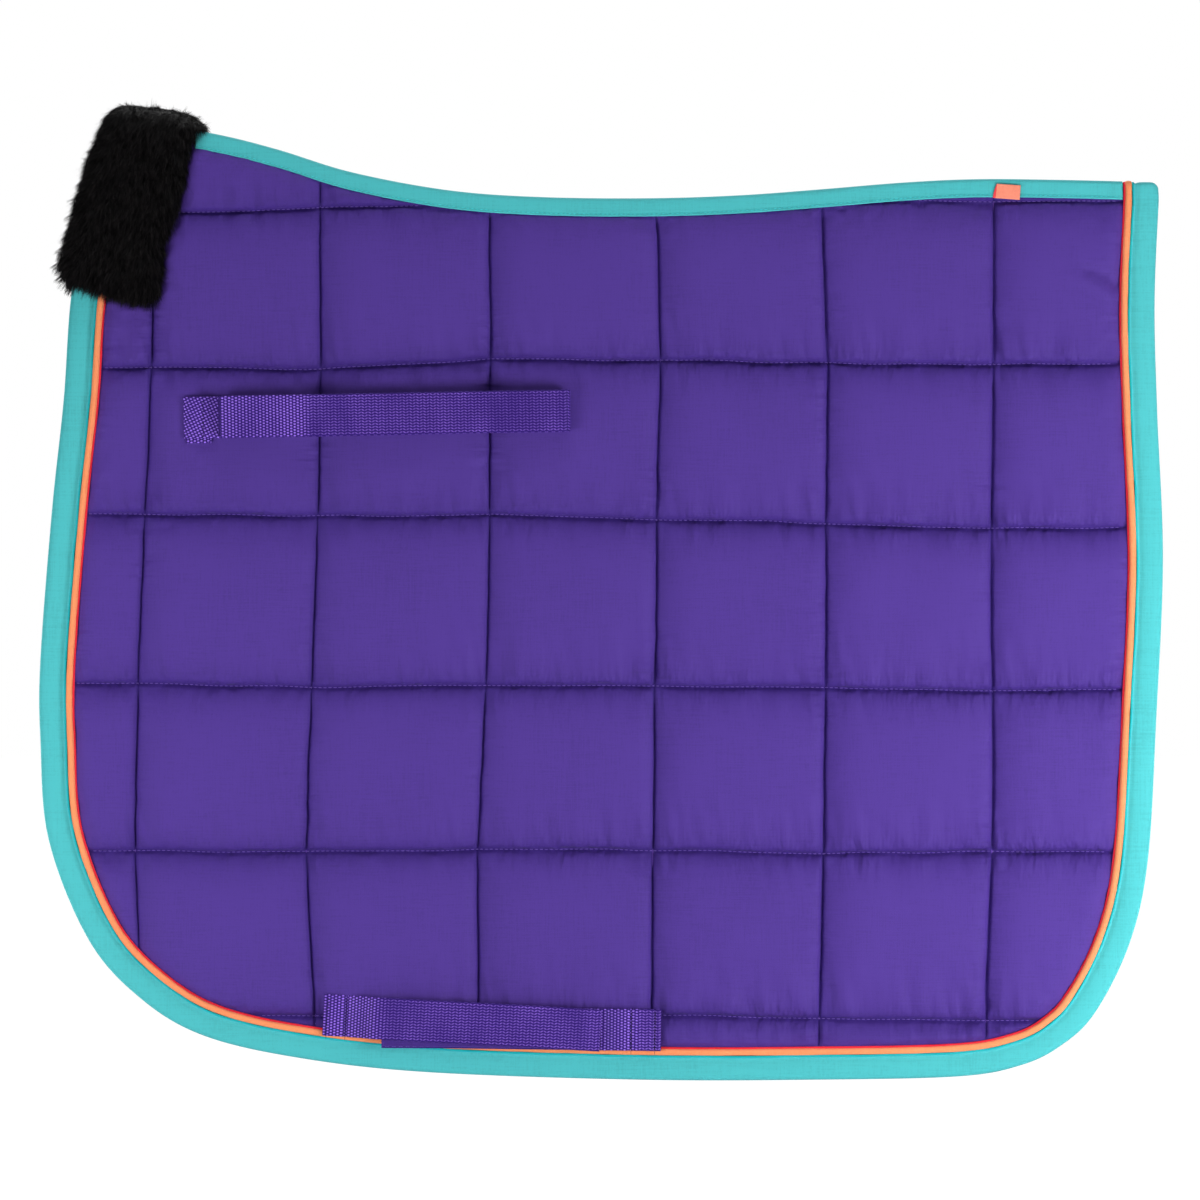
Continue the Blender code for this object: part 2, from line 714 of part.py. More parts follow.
def make_spine_binding():
    """Tape folded over the spine seam of both halves."""
    inside = [p for p in SPINE_TOP if SPINE_FRONT_X < p.x < SPINE_REAR_X]
    ends = (SPINE_FRONT_X, SPINE_REAR_X)
    front, rear = [Vector((x, height_at(SPINE_TOP, x))) for x in ends]
    top = [front] + inside + [rear]
    low = [Vector((p.x, p.y - SPINE_BINDING_DROP)) for p in top]
    outline = top + low[::-1]
    teal = MATERIALS["teal_binding"]
    tape = side_plate("spine_binding", outline, -BINDING_OUT, BINDING_OUT, teal, PARTS)
    floor = Vector((0.0, -OVERRUN))
    slot = SPINE_UNDER + [SPINE_UNDER[-1] + floor, SPINE_UNDER[0] + floor]
    inner = BINDING_OUT - TAPE_THICK
    cut(tape, as_cutter(side_plate("spine_slot", slot, -inner, inner, None, CUTTERS)))
    return tape


def make_corner():
    """The rear corner above the fold: the ends of the edge binding and of the piping."""
    top_z = PAD_EDGE[-1].y
    inner_x = REAR_X - BINDING_WIDTH
    foot = Vector((below(PAD_EDGE, STRIP_BOTTOM_Z)[-1].x, STRIP_BOTTOM_Z))
    outline = [Vector((inner_x, STRIP_BOTTOM_Z)), foot] + rear_corner(0.0)
    outline.append(Vector((inner_x, top_z)))
    teal = MATERIALS["teal_binding"]
    binding = side_plate("left_corner_binding", outline, BINDING_IN, BINDING_OUT, teal, PARTS)
    corner = rear_corner(TAPE_THICK)
    low_z = STRIP_BOTTOM_Z - BINDING_WIDTH
    rear = [p for p in offset_curve(PAD_EDGE, TAPE_THICK) if p.x > 0]
    right = [p for p in rear if low_z < p.y < corner[0].y - MIN_STEP]
    slot = [Vector((right[0].x, low_z))] + right + corner
    slot += [Vector((0.0, corner[-1].y)), Vector((0.0, low_z))]
    low = BINDING_IN + TAPE_THICK
    high = BINDING_OUT - TAPE_THICK
    cut(binding, as_cutter(side_plate("corner_slot", slot, low, high, None, CUTTERS)))
    foot = below(PIPING_LINE, FOLD_Z)[-1]
    path = [(foot.x, -PIPING_HEIGHT, foot.y), (PIPING_LINE[-1].x, -PIPING_HEIGHT, top_z)]
    piping = tube("left_corner_piping", path, PIPING_DIAMETER / 2, MATERIALS["orange_piping"])
    cut(piping, NOTCH)
    return [binding, piping]


def spread(low, high, count):
    return [low + (high - low) * i / (count - 1) for i in range(count)]


def plate_outline(start, end, low, high):
    return [(start, low), (end, low), (end, high), (start, high)]


def make_billet_strap():
    """The upper strap: sewn at its front end, folded back over itself and closed with tape."""
    webbing = MATERIALS["purple_webbing"]
    half = WEBBING_THICK / 2
    low = BILLET_BASE + half
    high = low + 2 * BILLET_BEND
    tab = plate_outline(-SEWN_END, -CLEARANCE, BILLET_BASE, BILLET_BASE + WEBBING_THICK)
    line = [Vector((0.0, low))]
    centre = Vector((BILLET_TURN, low + BILLET_BEND))
    for angle in spread(-math.pi / 2, math.pi / 2, BEND_POINTS):
        line.append(centre + Vector((math.cos(angle), math.sin(angle))) * BILLET_BEND)
    flap = plate_outline(BILLET_FLAP_STEP, BILLET_TURN - CLEARANCE, high - half, high + half)
    tape = BILLET_FLAP_STEP + CLEARANCE
    loop_low = low + half + CLEARANCE
    hook_low = loop_low + BILLET_TAPE_THICK + CLEARANCE
    loop = plate_outline(tape, tape + BILLET_TAPE_LENGTH, loop_low, loop_low + BILLET_TAPE_THICK)
    hook = plate_outline(tape, tape + BILLET_TAPE_LENGTH, hook_low, hook_low + BILLET_TAPE_THICK)
    put = (BILLET_HINGE, BILLET_TILT)
    return {
        "flap": [strap("left_billet_sewn_end", tab, WEBBING_WIDTH, *put, webbing)],
        "billet_strap": [
            strap("left_billet_strap", band(line, WEBBING_THICK), WEBBING_WIDTH, *put, webbing),
            strap("left_billet_loop_tape", loop, TAPE_WIDTH, *put, MATERIALS["hook_tape"]),
        ],
        "billet_flap": [
            strap("left_billet_flap", flap, WEBBING_WIDTH, *put, webbing),
            strap("left_billet_hook_tape", hook, TAPE_WIDTH, *put, MATERIALS["hook_tape"]),
        ],
    }


def rising_line(length, base, side):
    """A strap's middle line from its sewn end, up a ramp to the height that it runs at."""
    half = WEBBING_THICK / 2
    ramp_end = RAMP_START + RAMP_LENGTH
    steps = ((0.0, TAB_BASE), (RAMP_START, TAB_BASE), (ramp_end, base), (length, base))
    return [Vector((side * x, height + half)) for x, height in steps]


def make_girth_straps():
    """The lower strap in two halves that close over each other, with room for a girth behind them."""
    webbing = MATERIALS["purple_webbing"]
    top = TAB_BASE + WEBBING_THICK
    front_tab = plate_outline(-SEWN_END, -CLEARANCE, TAB_BASE, top)
    rear_tab = plate_outline(CLEARANCE, GIRTH_REAR_SEWN_END, TAB_BASE, top)
    front_band = band(rising_line(GIRTH_FRONT_LENGTH, GIRTH_FRONT_BASE, 1), WEBBING_THICK)
    rear_band = band(rising_line(GIRTH_REAR_LENGTH, GIRTH_REAR_BASE, -1), WEBBING_THICK)
    loop_low = GIRTH_REAR_BASE + WEBBING_THICK + CLEARANCE
    hook_low = loop_low + GIRTH_TAPE_THICK + CLEARANCE
    end = GIRTH_FRONT_LENGTH - CLEARANCE
    hook = plate_outline(end - GIRTH_TAPE_LENGTH, end, hook_low, hook_low + GIRTH_TAPE_THICK)
    start = -GIRTH_REAR_LENGTH + CLEARANCE
    loop_end = -RAMP_START - RAMP_LENGTH - CLEARANCE
    loop = plate_outline(start, loop_end, loop_low, loop_low + GIRTH_TAPE_THICK)
    front = (GIRTH_FRONT_HINGE, GIRTH_FRONT_TILT)
    rear = (GIRTH_REAR_HINGE, GIRTH_REAR_TILT)
    tape = MATERIALS["hook_tape"]
    return {
        "flap": [
            strap("left_girth_front_sewn_end", front_tab, WEBBING_WIDTH, *front, webbing),
            strap("left_girth_rear_sewn_end", rear_tab, WEBBING_WIDTH, *rear, webbing),
        ],
        "girth_front": [
            strap("left_girth_front_strap", front_band, WEBBING_WIDTH, *front, webbing),
            strap("left_girth_hook_tape", hook, TAPE_WIDTH, *front, tape),
        ],
        "girth_rear": [
            strap("left_girth_rear_strap", rear_band, WEBBING_WIDTH, *rear, webbing),
            strap("left_girth_loop_tape", loop, TAPE_WIDTH, *rear, tape),
        ],
    }


def make_tag():
    """A small woven tag sewn on the near side of the spine binding, left bare."""
    bpy.ops.mesh.primitive_cube_add(size=1.0)
    tag = bpy.context.active_object
    tag.name = "label_tag"
    tag.data.transform(Matrix.Diagonal((TAG_SIZE[0], TAG_SIZE[2], TAG_SIZE[1], 1.0)))
    tag.data.transform(Matrix.Rotation(TAG_TILT, 4, "Y"))
    height = BINDING_OUT + CLEARANCE + TAG_SIZE[2] / 2
    x = placed(TAG_X_MM, 0.0).x
    z = height_at(SPINE_TOP, x) - TAG_BELOW_SPINE
    tag.data.transform(Matrix.Translation((x, -height, z)))
    for collection in list(tag.users_collection):
        collection.objects.unlink(tag)
    PARTS.objects.link(tag)
    tag.data.materials.append(MATERIALS["orange_tag"])
    return tag


def mirrored(obj):
    """The right-hand twin of a left-hand piece, as its own mesh."""
    mesh = obj.data.copy()
    mesh.transform(Matrix.Scale(-1.0, 4, Vector((0.0, 1.0, 0.0))))
    mesh.flip_normals()
    name = obj.name.replace("left_", "right_")
    mesh.name = name
    twin = bpy.data.objects.new(name, mesh)
    PARTS.objects.link(twin)
    return twin


def put_on_axis(pieces, name, place, tilt, parent):
    """An empty on the joint's axis, which the moving pieces are parented to."""
    empty = bpy.data.objects.new(name, None)
    empty.empty_display_size = AXIS_MARK
    PARTS.objects.link(empty)
    empty.location = place
    empty.rotation_euler = (0.0, tilt, 0.0)
    bpy.context.view_layer.update()
    if parent:
        empty.parent = parent
        empty.matrix_parent_inverse = parent.matrix_world.inverted()
    bpy.context.view_layer.update()
    for piece in pieces:
        piece.parent = empty
        piece.matrix_parent_inverse = empty.matrix_world.inverted()
    return empty


NOTCH = make_notch()
NOTCH_RIGHT = as_cutter(bpy.data.objects.new("fold_notch_right", NOTCH.data.copy()))
NOTCH_RIGHT.data.transform(Matrix.Rotation(math.pi, 4, "Z"))
CUTTERS.objects.link(NOTCH_RIGHT)

left_fur, wither_fur = make_fur()
on_flap = [make_shell(), make_wadding(), make_lining()]
on_flap += [make_binding(), make_piping(), left_fur]
billet = make_billet_strap()
girth = make_girth_straps()
on_root = make_strip() + make_corner()
make_spine_binding()
make_tag()

groups = {
    "flap": on_flap + billet["flap"] + girth["flap"],
    "billet_strap": billet["billet_strap"],
    "billet_flap": billet["billet_flap"],
    "girth_front": girth["girth_front"],
    "girth_rear": girth["girth_rear"],
}

along_billet = Vector((math.cos(BILLET_TILT), -math.sin(BILLET_TILT)))
peel_place = BILLET_HINGE + along_billet * BILLET_TURN
peel_height = BILLET_BASE + 2 * WEBBING_THICK + BILLET_TAPE_GAP
tab_top = TAB_BASE + WEBBING_THICK
AXES = {
    "flap": ((0.0, FOLD_Z), FOLD_AXIS_HEIGHT, 0.0, None),
    "billet_strap": (BILLET_HINGE, BILLET_BASE + WEBBING_THICK, BILLET_TILT, "flap"),
    "billet_flap": (peel_place, peel_height, BILLET_TILT, "billet_strap"),
    "girth_front": (GIRTH_FRONT_HINGE, tab_top, GIRTH_FRONT_TILT, "flap"),
    "girth_rear": (GIRTH_REAR_HINGE, tab_top, GIRTH_REAR_TILT, "flap"),
}

for piece in on_root + [p for group in groups.values() for p in group] + [wither_fur]:
    apply_modifiers(piece)
    shade_round(piece)
apply_modifiers(bpy.data.objects["spine_binding"])
for piece in on_root:
    mirrored(piece)
for side, sign in (("left", -1.0), ("right", 1.0)):
    empties = {}
    for group, ((x, z), height, tilt, parent) in AXES.items():
        pieces = groups[group] if side == "left" else [mirrored(p) for p in groups[group]]
        place = (x, sign * height, z)
        name = f"{side}_{group}_axis"
        empties[group] = put_on_axis(pieces, name, place, tilt, empties.get(parent))
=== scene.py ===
# Looks of the dressage saddle pad: quilted cloth, bindings, piping, straps, tag and faux fur.
# Every piece is worked out for the left half as (x, height over the middle plane, z), in metres.
# The right half is its mirror twin.

import math

import bmesh
import bpy
import numpy as np
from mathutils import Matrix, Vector
from mathutils.geometry import delaunay_2d_cdt
from mathutils.kdtree import KDTree


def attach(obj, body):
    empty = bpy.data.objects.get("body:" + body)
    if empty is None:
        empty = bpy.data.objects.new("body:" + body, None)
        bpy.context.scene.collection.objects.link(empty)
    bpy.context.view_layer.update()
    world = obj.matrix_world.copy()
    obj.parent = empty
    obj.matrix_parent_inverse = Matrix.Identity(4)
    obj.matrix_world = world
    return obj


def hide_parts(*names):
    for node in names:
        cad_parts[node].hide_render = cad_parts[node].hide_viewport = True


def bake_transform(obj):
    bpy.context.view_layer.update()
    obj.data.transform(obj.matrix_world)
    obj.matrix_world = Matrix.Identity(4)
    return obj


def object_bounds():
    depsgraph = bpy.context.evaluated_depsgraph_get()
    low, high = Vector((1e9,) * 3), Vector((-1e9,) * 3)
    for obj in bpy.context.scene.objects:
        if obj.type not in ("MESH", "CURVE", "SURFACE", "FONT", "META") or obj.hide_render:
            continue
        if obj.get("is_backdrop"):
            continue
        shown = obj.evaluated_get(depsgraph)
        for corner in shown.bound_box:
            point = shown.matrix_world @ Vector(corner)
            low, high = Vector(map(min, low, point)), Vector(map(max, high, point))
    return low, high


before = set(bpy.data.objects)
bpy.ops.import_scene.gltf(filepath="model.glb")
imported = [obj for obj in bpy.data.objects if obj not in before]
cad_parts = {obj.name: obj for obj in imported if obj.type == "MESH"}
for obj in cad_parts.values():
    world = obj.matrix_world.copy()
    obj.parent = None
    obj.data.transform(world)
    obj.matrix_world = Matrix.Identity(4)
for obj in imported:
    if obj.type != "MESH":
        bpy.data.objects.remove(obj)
CAD_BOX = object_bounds()

MM = 0.001
SIDES = (("left", -1.0), ("right", 1.0))

# Heights over the middle plane, thicknesses and widths, mostly as in the CAD model. The piping is
# thinner, and the binding narrower along the hem, as in the photo
LINING_IN = 4.0 * MM
LINING_OUT = 4.8 * MM
WADDING_IN = 5.1 * MM
SHELL_SEAM = 7.5 * MM
CROWN = 6.3 * MM
BINDING_OUT = 8.8 * MM
TAPE_THICK = 1.1 * MM
BINDING_WIDTH = 16.0 * MM
HEM_NARROWER = 1.3 * MM
NARROWING_REACH = 14.0 * MM
SPINE_BINDING_DROP = 10.8 * MM
PIPING_RADIUS = 1.95 * MM
PIPING_SEAM = 3.0 * MM
PIPING_INSET = 18.4 * MM
PIPING_HEIGHT = 9.9 * MM
PANEL_INSET = 1.3 * MM
PANEL_BELOW_SPINE = 3.4 * MM

# Outlines in the side view, (x, z) in millimetres
SPINE_TOP_MM = (
    (-293, 50.5), (-233, 40.2), (-194, 30.6), (-149, 16.8), (-91, 6.0), (-35, 1.9), (30, 1.2),
    (84, 3.0), (133, 6.6), (182, 10.6), (225, 12.6), (276, 12.2), (333, 10.8),
)
PAD_EDGE_MM = (
    (-293, 50.5), (-305, 0), (-317, -54), (-322, -120), (-329, -186), (-336, -276), (-336, -324),
    (-331, -384), (-307, -444), (-276, -479), (-238, -501.5), (-180, -515), (-103, -523.5), (24, -528),
    (130, -528), (215, -526), (252, -519.5), (276, -508), (297, -488), (318, -446), (329, -396),
    (334, -312), (338, -216), (334.5, -126), (333, -60), (336, 10.8),
)
FUR_EDGE_MM = (
    (-255, -9), (-262, -27), (-264.5, -53), (-272, -60), (-290, -58), (-308, -50), (-319, -46),
    (-321, -34), (-312, 4), (-303, 32), (-291, 55), (-270, 56), (-246, 51.5), (-237, 42.5),
    (-245.5, 36), (-249, 18), (-255, -9),
)

# Quilting: squares reckoned from the crossing of the first seams, and how far each crossing is off its place
SEAM_START = (-273.0 * MM, -97.8 * MM)
SEAM_PITCH = (101.6 * MM, 98.1 * MM)
ROWS_BELOW = 4
COLUMNS = 6
QUILT_LINES = 48
LINE_CROWDING = 0.6
SEAM_WANDER = 0.6 * MM
SEAM_WIGGLE = 0.28 * MM
SHIFT_X_MM = (
    (-2.0, 0.4, -3.4, -1.2, -2.0, -4.0),
    (-6.0, -5.0, -4.0, -0.6, 0.4, 0.2),
    (-4.2, -2.0, 1.4, 1.2, 2.2, 0.2),
    (0.0, 2.2, 3.2, 1.8, 2.2, -0.4),
    (3.6, 4.0, 3.8, 4.2, 2.8, 0.8),
    (6.0, 3.4, 3.2, 1.8, -0.8, 1.4),
)
SHIFT_Z_MM = (
    (1.2, 0.6, 1.2, 1.2, -0.6, -1.8),
    (1.5, 0.9, 2.1, 2.1, 0.3, 0.9),
    (4.2, 1.8, 3.0, 2.4, 1.2, 0.0),
    (7.5, 6.3, 7.2, 4.5, 2.1, -0.9),
    (-2.4, -3.6, 2.4, 1.8, 0.0, -0.6),
    (-8.1, -5.1, -2.7, -0.3, -0.3, -0.9),
)


def noise(a, b, seed):
    """Smooth random values from -1 to 1 over a plane, one lattice step long."""
    size = 256
    table = np.random.default_rng(seed).uniform(-1.0, 1.0, (size, size))
    i, j = np.floor(a).astype(int), np.floor(b).astype(int)
    s, t = a - i, b - j
    s, t = s * s * (3 - 2 * s), t * t * (3 - 2 * t)
    i0, i1, j0, j1 = i % size, (i + 1) % size, j % size, (j + 1) % size
    low = table[i0, j0] * (1 - s) + table[i1, j0] * s
    high = table[i0, j1] * (1 - s) + table[i1, j1] * s
    return low * (1 - t) + high * t


def evenly(line, spacing):
    """The same line with evenly spaced points."""
    steps = np.linalg.norm(np.diff(line, axis=0), axis=1)
    reach = np.concatenate([[0.0], np.cumsum(steps)])
    count = max(2, int(round(reach[-1] / spacing)) + 1)
    places = np.linspace(0.0, reach[-1], count)
    return np.stack([np.interp(places, reach, column) for column in line.T], axis=1)


def curve_through(points_mm, spacing):
    """Evenly spaced points, in metres, of a smooth curve through the given places in millimetres."""
    points = np.array(points_mm, float) * MM
    ends = np.vstack([2 * points[0] - points[1], points, 2 * points[-1] - points[-2]])
    t = np.linspace(0.0, 1.0, 16, endpoint=False)[:, None]
    found = []
    for a, b, c, d in zip(ends, ends[1:], ends[2:], ends[3:]):
        cubic = -a + 3 * b - 3 * c + d
        square = 2 * a - 5 * b + 4 * c - d
        found.append(0.5 * (2 * b + (c - a) * t + square * t**2 + cubic * t**3))
    found.append(points[-1:])
    return evenly(np.vstack(found), spacing)


def inward_of(line):
    """Unit vectors to the left of a line in the side view, which is inward on the pad's edge."""
    along = np.gradient(line, axis=0)
    left = np.stack([-along[:, 1], along[:, 0]], axis=1)
    return left / np.linalg.norm(left, axis=1, keepdims=True)


def nearest_on(line, points):
    """Distance from each point to a finely divided line, and the nearest place on it."""
    tree = KDTree(len(line))
    for index, (x, z) in enumerate(line.tolist()):
        tree.insert((x, z, 0.0), index)
    tree.balance()
    nearest = np.array([tree.find((x, z, 0.0))[1] for x, z in points.tolist()])
    best = np.full(len(points), np.inf)
    place = np.zeros_like(points)
    for shift in (-1, 0):
        first = np.clip(nearest + shift, 0, len(line) - 2)
        a = line[first]
        along = line[first + 1] - a
        t = ((points - a) * along).sum(axis=1) / (along**2).sum(axis=1)
        foot = a + np.clip(t, 0.0, 1.0)[:, None] * along
        gap = np.linalg.norm(points - foot, axis=1)
        nearer = gap < best
        best[nearer] = gap[nearer]
        place[nearer] = foot[nearer]
    return best, place


def looped(line):
    """A loop with its first point again at its end."""
    return np.vstack([line, line[:1]])


def within(loop, points):
    """Which points lie inside a closed loop."""
    inside = np.zeros(len(points), bool)
    for a, b in zip(loop, np.roll(loop, -1, axis=0)):
        spans = (a[1] > points[:, 1]) != (b[1] > points[:, 1])
        if spans.any():
            crossing = a[0] + (b[0] - a[0]) * (points[:, 1] - a[1]) / (b[1] - a[1])
            inside ^= spans & (points[:, 0] < crossing)
    return inside


def places_over(loop, step):
    """Even places over the box of a loop, in the side view, and the shape of their grid."""
    low, high = loop.min(axis=0), loop.max(axis=0)
    x, z = np.meshgrid(np.arange(low[0], high[0], step), np.arange(low[1], high[1], step), indexing="ij")
    return np.stack([x.ravel(), z.ravel()], axis=1), x.shape


def grid_quads(rows, columns, wrap=False):
    """Faces between neighbouring rows of points. With wrap, each row is a closed ring."""
    across = columns if wrap else columns - 1
    i, j = np.meshgrid(np.arange(rows - 1), np.arange(across), indexing="ij")
    right = (j + 1) % columns
    corners = [i * columns + j, (i + 1) * columns + j, (i + 1) * columns + right, i * columns + right]
    return np.stack(corners, axis=-1).reshape(-1, 4)


def new_object(name, data):
    obj = bpy.data.objects.new(name, data)
    bpy.context.scene.collection.objects.link(obj)
    return obj


def object_from(name, points, faces, look, side, values=None, closed=True):
    """A mesh object from (x, height, z) points on one side.
    Each point keeps its rest place in millimetres."""
    points = np.asarray(points, float)
    mesh = bpy.data.meshes.new(name)
    mesh.from_pydata((points * (1.0, side, 1.0)).tolist(), [], [list(map(int, f)) for f in faces])
    rest = mesh.attributes.new("rest_mm", "FLOAT_VECTOR", "POINT")
    rest.data.foreach_set("vector", (points / MM).astype(np.float32).ravel())
    for key, value in (values or {}).items():
        layer = mesh.attributes.new(key, "FLOAT", "POINT")
        layer.data.foreach_set("value", np.asarray(value, np.float32))
    if closed:
        work = bmesh.new()
        work.from_mesh(mesh)
        bmesh.ops.recalc_face_normals(work, faces=work.faces)
        work.to_mesh(mesh)
        work.free()
    mesh.shade_smooth()
    mesh.materials.append(LOOKS[look])
    return new_object(name, mesh)


def both_sides(part, points, faces, look, slot=None, **more):
    """Makes a piece for the left and for the right, and gives each with its side's name."""
    for name, side in SIDES:
        piece = object_from(f"{name}_{part}", points, faces, look, side, **more)
        slot or look
        yield name, piece


def second_look(obj, look, chosen):
    """Gives the chosen faces of a piece their own material."""
    obj.data.materials.append(LOOKS[look])
    obj.data.polygons.foreach_set("material_index", np.asarray(chosen, np.int32))


def stands_for(obj, name, *nodes):
    """Hides the CAD nodes of its side that a piece takes the place of."""
    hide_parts(*[f"{name}_{node}" for node in nodes])


def across_fold(obj, name):
    """Bakes a piece's transform into its mesh."""
    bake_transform(obj)


def swept(rings):
    """Points and faces of closed rings joined one to the next, with the two ends closed."""
    count, size = rings.shape[:2]
    faces = [list(face) for face in grid_quads(count, size, wrap=True)]
    faces.append(list(range(size))[::-1])
    faces.append(list(range((count - 1) * size, count * size)))
    return rings.reshape(-1, 3), faces


def joined(parts):
    """Several (points, faces) as one."""
    points, faces, start = [], [], 0
    for some, more in parts:
        points.append(some)
        faces.extend([[index + start for index in face] for face in more])
        start += len(some)
    return np.vstack(points), faces


# Materials
def set_inputs(tree, node, inputs):
    """Sets each input of a node, or links it where the value is a socket."""
    for key, value in inputs.items():
        if isinstance(value, bpy.types.NodeSocket):
            tree.links.new(value, node.inputs[key])
        else:
            node.inputs[key].default_value = value


def add_node(tree, kind, inputs=None, **settings):
    """A node with its settings and inputs."""
    node = tree.nodes.new(kind)
    for key, value in settings.items():
        setattr(node, key, value)
    set_inputs(tree, node, inputs or {})
    return node


def calculated(tree, operation, *values):
    """The result of one sum over numbers or sockets."""
    inputs = dict(enumerate(values))
    return add_node(tree, "ShaderNodeMath", inputs, operation=operation).outputs[0]


def mesh_value(tree, name):
    """A value that the mesh holds at each point."""
    return add_node(tree, "ShaderNodeAttribute", attribute_name=name).outputs["Fac"]


def new_look(name):
    """A new material, its node tree and its shader."""
    material = bpy.data.materials.new(name)
    material.use_nodes = True
    return material, material.node_tree, material.node_tree.nodes["Principled BSDF"]


def bumped(tree, height, depth_mm, strength, under=None):
    """A normal tilted by a height, over another normal where one is given."""
    inputs = {"Height": height, "Strength": strength, "Distance": depth_mm * MM}
    if under:
        inputs["Normal"] = under
    return add_node(tree, "ShaderNodeBump", inputs).outputs["Normal"]


def rest_place(tree, scale):
    """The point's place on the resting object in millimetres, times a scale in each direction."""
    place = add_node(tree, "ShaderNodeAttribute", attribute_name="rest_mm").outputs["Vector"]
    return add_node(tree, "ShaderNodeMapping", {"Vector": place, "Scale": scale}).outputs["Vector"]


def noise_at(tree, scale, detail=2.0):
    inputs = {"Vector": rest_place(tree, scale), "Scale": 1.0, "Detail": detail}
    return add_node(tree, "ShaderNodeTexNoise", inputs).outputs["Fac"]


def threads_at(tree, direction, pitch_mm):
    """A wave for the threads that lie side by side in one direction."""
    inputs = {"Vector": rest_place(tree, (1.0, 1.0, 1.0)), "Scale": 0.314 / pitch_mm}
    inputs.update({"Distortion": 0.4, "Detail": 1.0, "Detail Scale": 0.5})
    return add_node(tree, "ShaderNodeTexWave", inputs, bands_direction=direction).outputs["Fac"]


def ramp(tree, factor, stops):
    """A colour between those of (position, colour) stops."""
    node = add_node(tree, "ShaderNodeValToRGB", {"Fac": factor})
    elements = node.color_ramp.elements
    while len(elements) < len(stops):
        elements.new(0.5)
    for element, (position, colour) in zip(elements, stops):
        element.position = position
        element.color = (*colour, 1.0)
    return node.outputs["Color"]


def shaded(colour, share):
    """The colour made lighter or darker."""
    return tuple(min(1.0, channel * share) for channel in colour)


def pucker_bump(tree):
    """Fine puckers square to each line of sewing, where the mesh's own marks ask for them."""
    total = 0.0
    for name, scale in (("pucker_along_x", (0.24, 0.24, 0.04)), ("pucker_along_z", (0.04, 0.04, 0.22))):
        part = calculated(tree, "MULTIPLY", mesh_value(tree, name), noise_at(tree, scale, 1.0))
        total = calculated(tree, "ADD", total, part)
    return bumped(tree, total, PUCKER_DEPTH_MM, 1.0)


def painted_seam_shade(tree, colour):
    """The colour, mixed towards a painted shade colour where the mesh marks a seam: painted shade in its
    crease and in the band beside it.
    """
    mix = add_node(tree, "ShaderNodeMix", data_type="RGBA")
    share = calculated(tree, "MULTIPLY", mesh_value(tree, "seam"), SEAM_SHADE_SHARE)
    set_inputs(tree, mix, {"Factor": share, "A": colour, "B": (*SEAM_SHADE_PURPLE, 1.0)})
    return mix.outputs["Result"]


def cloth_look(name, colour, roughness, sheen, thread_mm, slub, depth_mm=0.05, sewn=False):
    """Woven cloth: threads both ways in the bump, and slubs and blotches in the colour. Sewn cloth also gets
    puckers in the bump and painted shade at its seams.
    """
    material, tree, shader = new_look(name)
    across = noise_at(tree, (1.4, 1.4, 0.06))
    upright = noise_at(tree, (0.06, 0.06, 1.4))
    blotch = noise_at(tree, (0.02, 0.02, 0.02), 4.0)
    grain = noise_at(tree, (0.8, 0.8, 0.8), 1.0)
    slubs = calculated(tree, "ADD", across, upright)
    mottled = calculated(tree, "MULTIPLY", calculated(tree, "ADD", blotch, grain), 0.5 * (1.0 - slub))
    tone = calculated(tree, "MULTIPLY_ADD", slubs, slub, mottled)
    shade = ramp(tree, tone, ((0.25, shaded(colour, 0.84)), (0.5, colour), (0.75, shaded(colour, 1.18))))
    weave = calculated(tree, "MULTIPLY", threads_at(tree, "X", thread_mm), threads_at(tree, "Z", thread_mm))
    height = calculated(tree, "MULTIPLY_ADD", slubs, 0.6, weave)
    set_inputs(tree, shader, {
        "Base Color": painted_seam_shade(tree, shade) if sewn else shade,
        "Normal": bumped(tree, height, depth_mm, 0.5, pucker_bump(tree) if sewn else None),
        "Roughness": calculated(tree, "MULTIPLY_ADD", weave, -0.08, roughness),
        "Sheen Weight": sheen,
        "Sheen Roughness": 0.45,
        "Specular IOR Level": 0.20,
    })
    return material


def webbing_look(name, dark, light):
    """Webbing: painted highlight on the beads of yarn and painted shade in the gaps between them, from the
    woven mesh's own bead value.
    """
    material, tree, shader = new_look(name)
    bead = mesh_value(tree, "bead")
    yarn = noise_at(tree, (2.0, 2.0, 2.0), 3.0)
    patch = noise_at(tree, (0.05, 0.05, 0.02), 2.0)
    change = calculated(tree, "MULTIPLY_ADD", yarn, 0.5, 0.35)
    tone = calculated(tree, "MULTIPLY", bead, calculated(tree, "ADD", change, patch))
    between = tuple(0.72 * a + 0.28 * b for a, b in zip(dark, light))
    set_inputs(tree, shader, {
        "Base Color": ramp(tree, tone, ((0.20, dark), (0.50, between), (1.0, light))),
        "Normal": bumped(tree, yarn, 0.08, 0.5),
        "Roughness": calculated(tree, "MULTIPLY_ADD", bead, -0.15, 0.62),
        "Specular IOR Level": 0.14,
    })
    return material


def fur_look(name, root, tip):
    """Faux fur: near black, with a painted sheen: a paler colour on the upper part of each strand."""
    material, tree, shader = new_look(name)
    tuft = noise_at(tree, (0.5, 0.5, 0.12), 3.0)
    tone = calculated(tree, "MULTIPLY", mesh_value(tree, "along"), tuft)
    set_inputs(tree, shader, {
        "Base Color": ramp(tree, tone, ((0.25, root), (0.95, tip))),
        "Roughness": calculated(tree, "MULTIPLY_ADD", tuft, 0.2, 0.42),
        "Specular IOR Level": 0.13,
    })
    return material


PUCKER_DEPTH_MM = 2.2
# How far sewn cloth's colour goes towards the painted seam shade
SEAM_SHADE_SHARE = 0.85
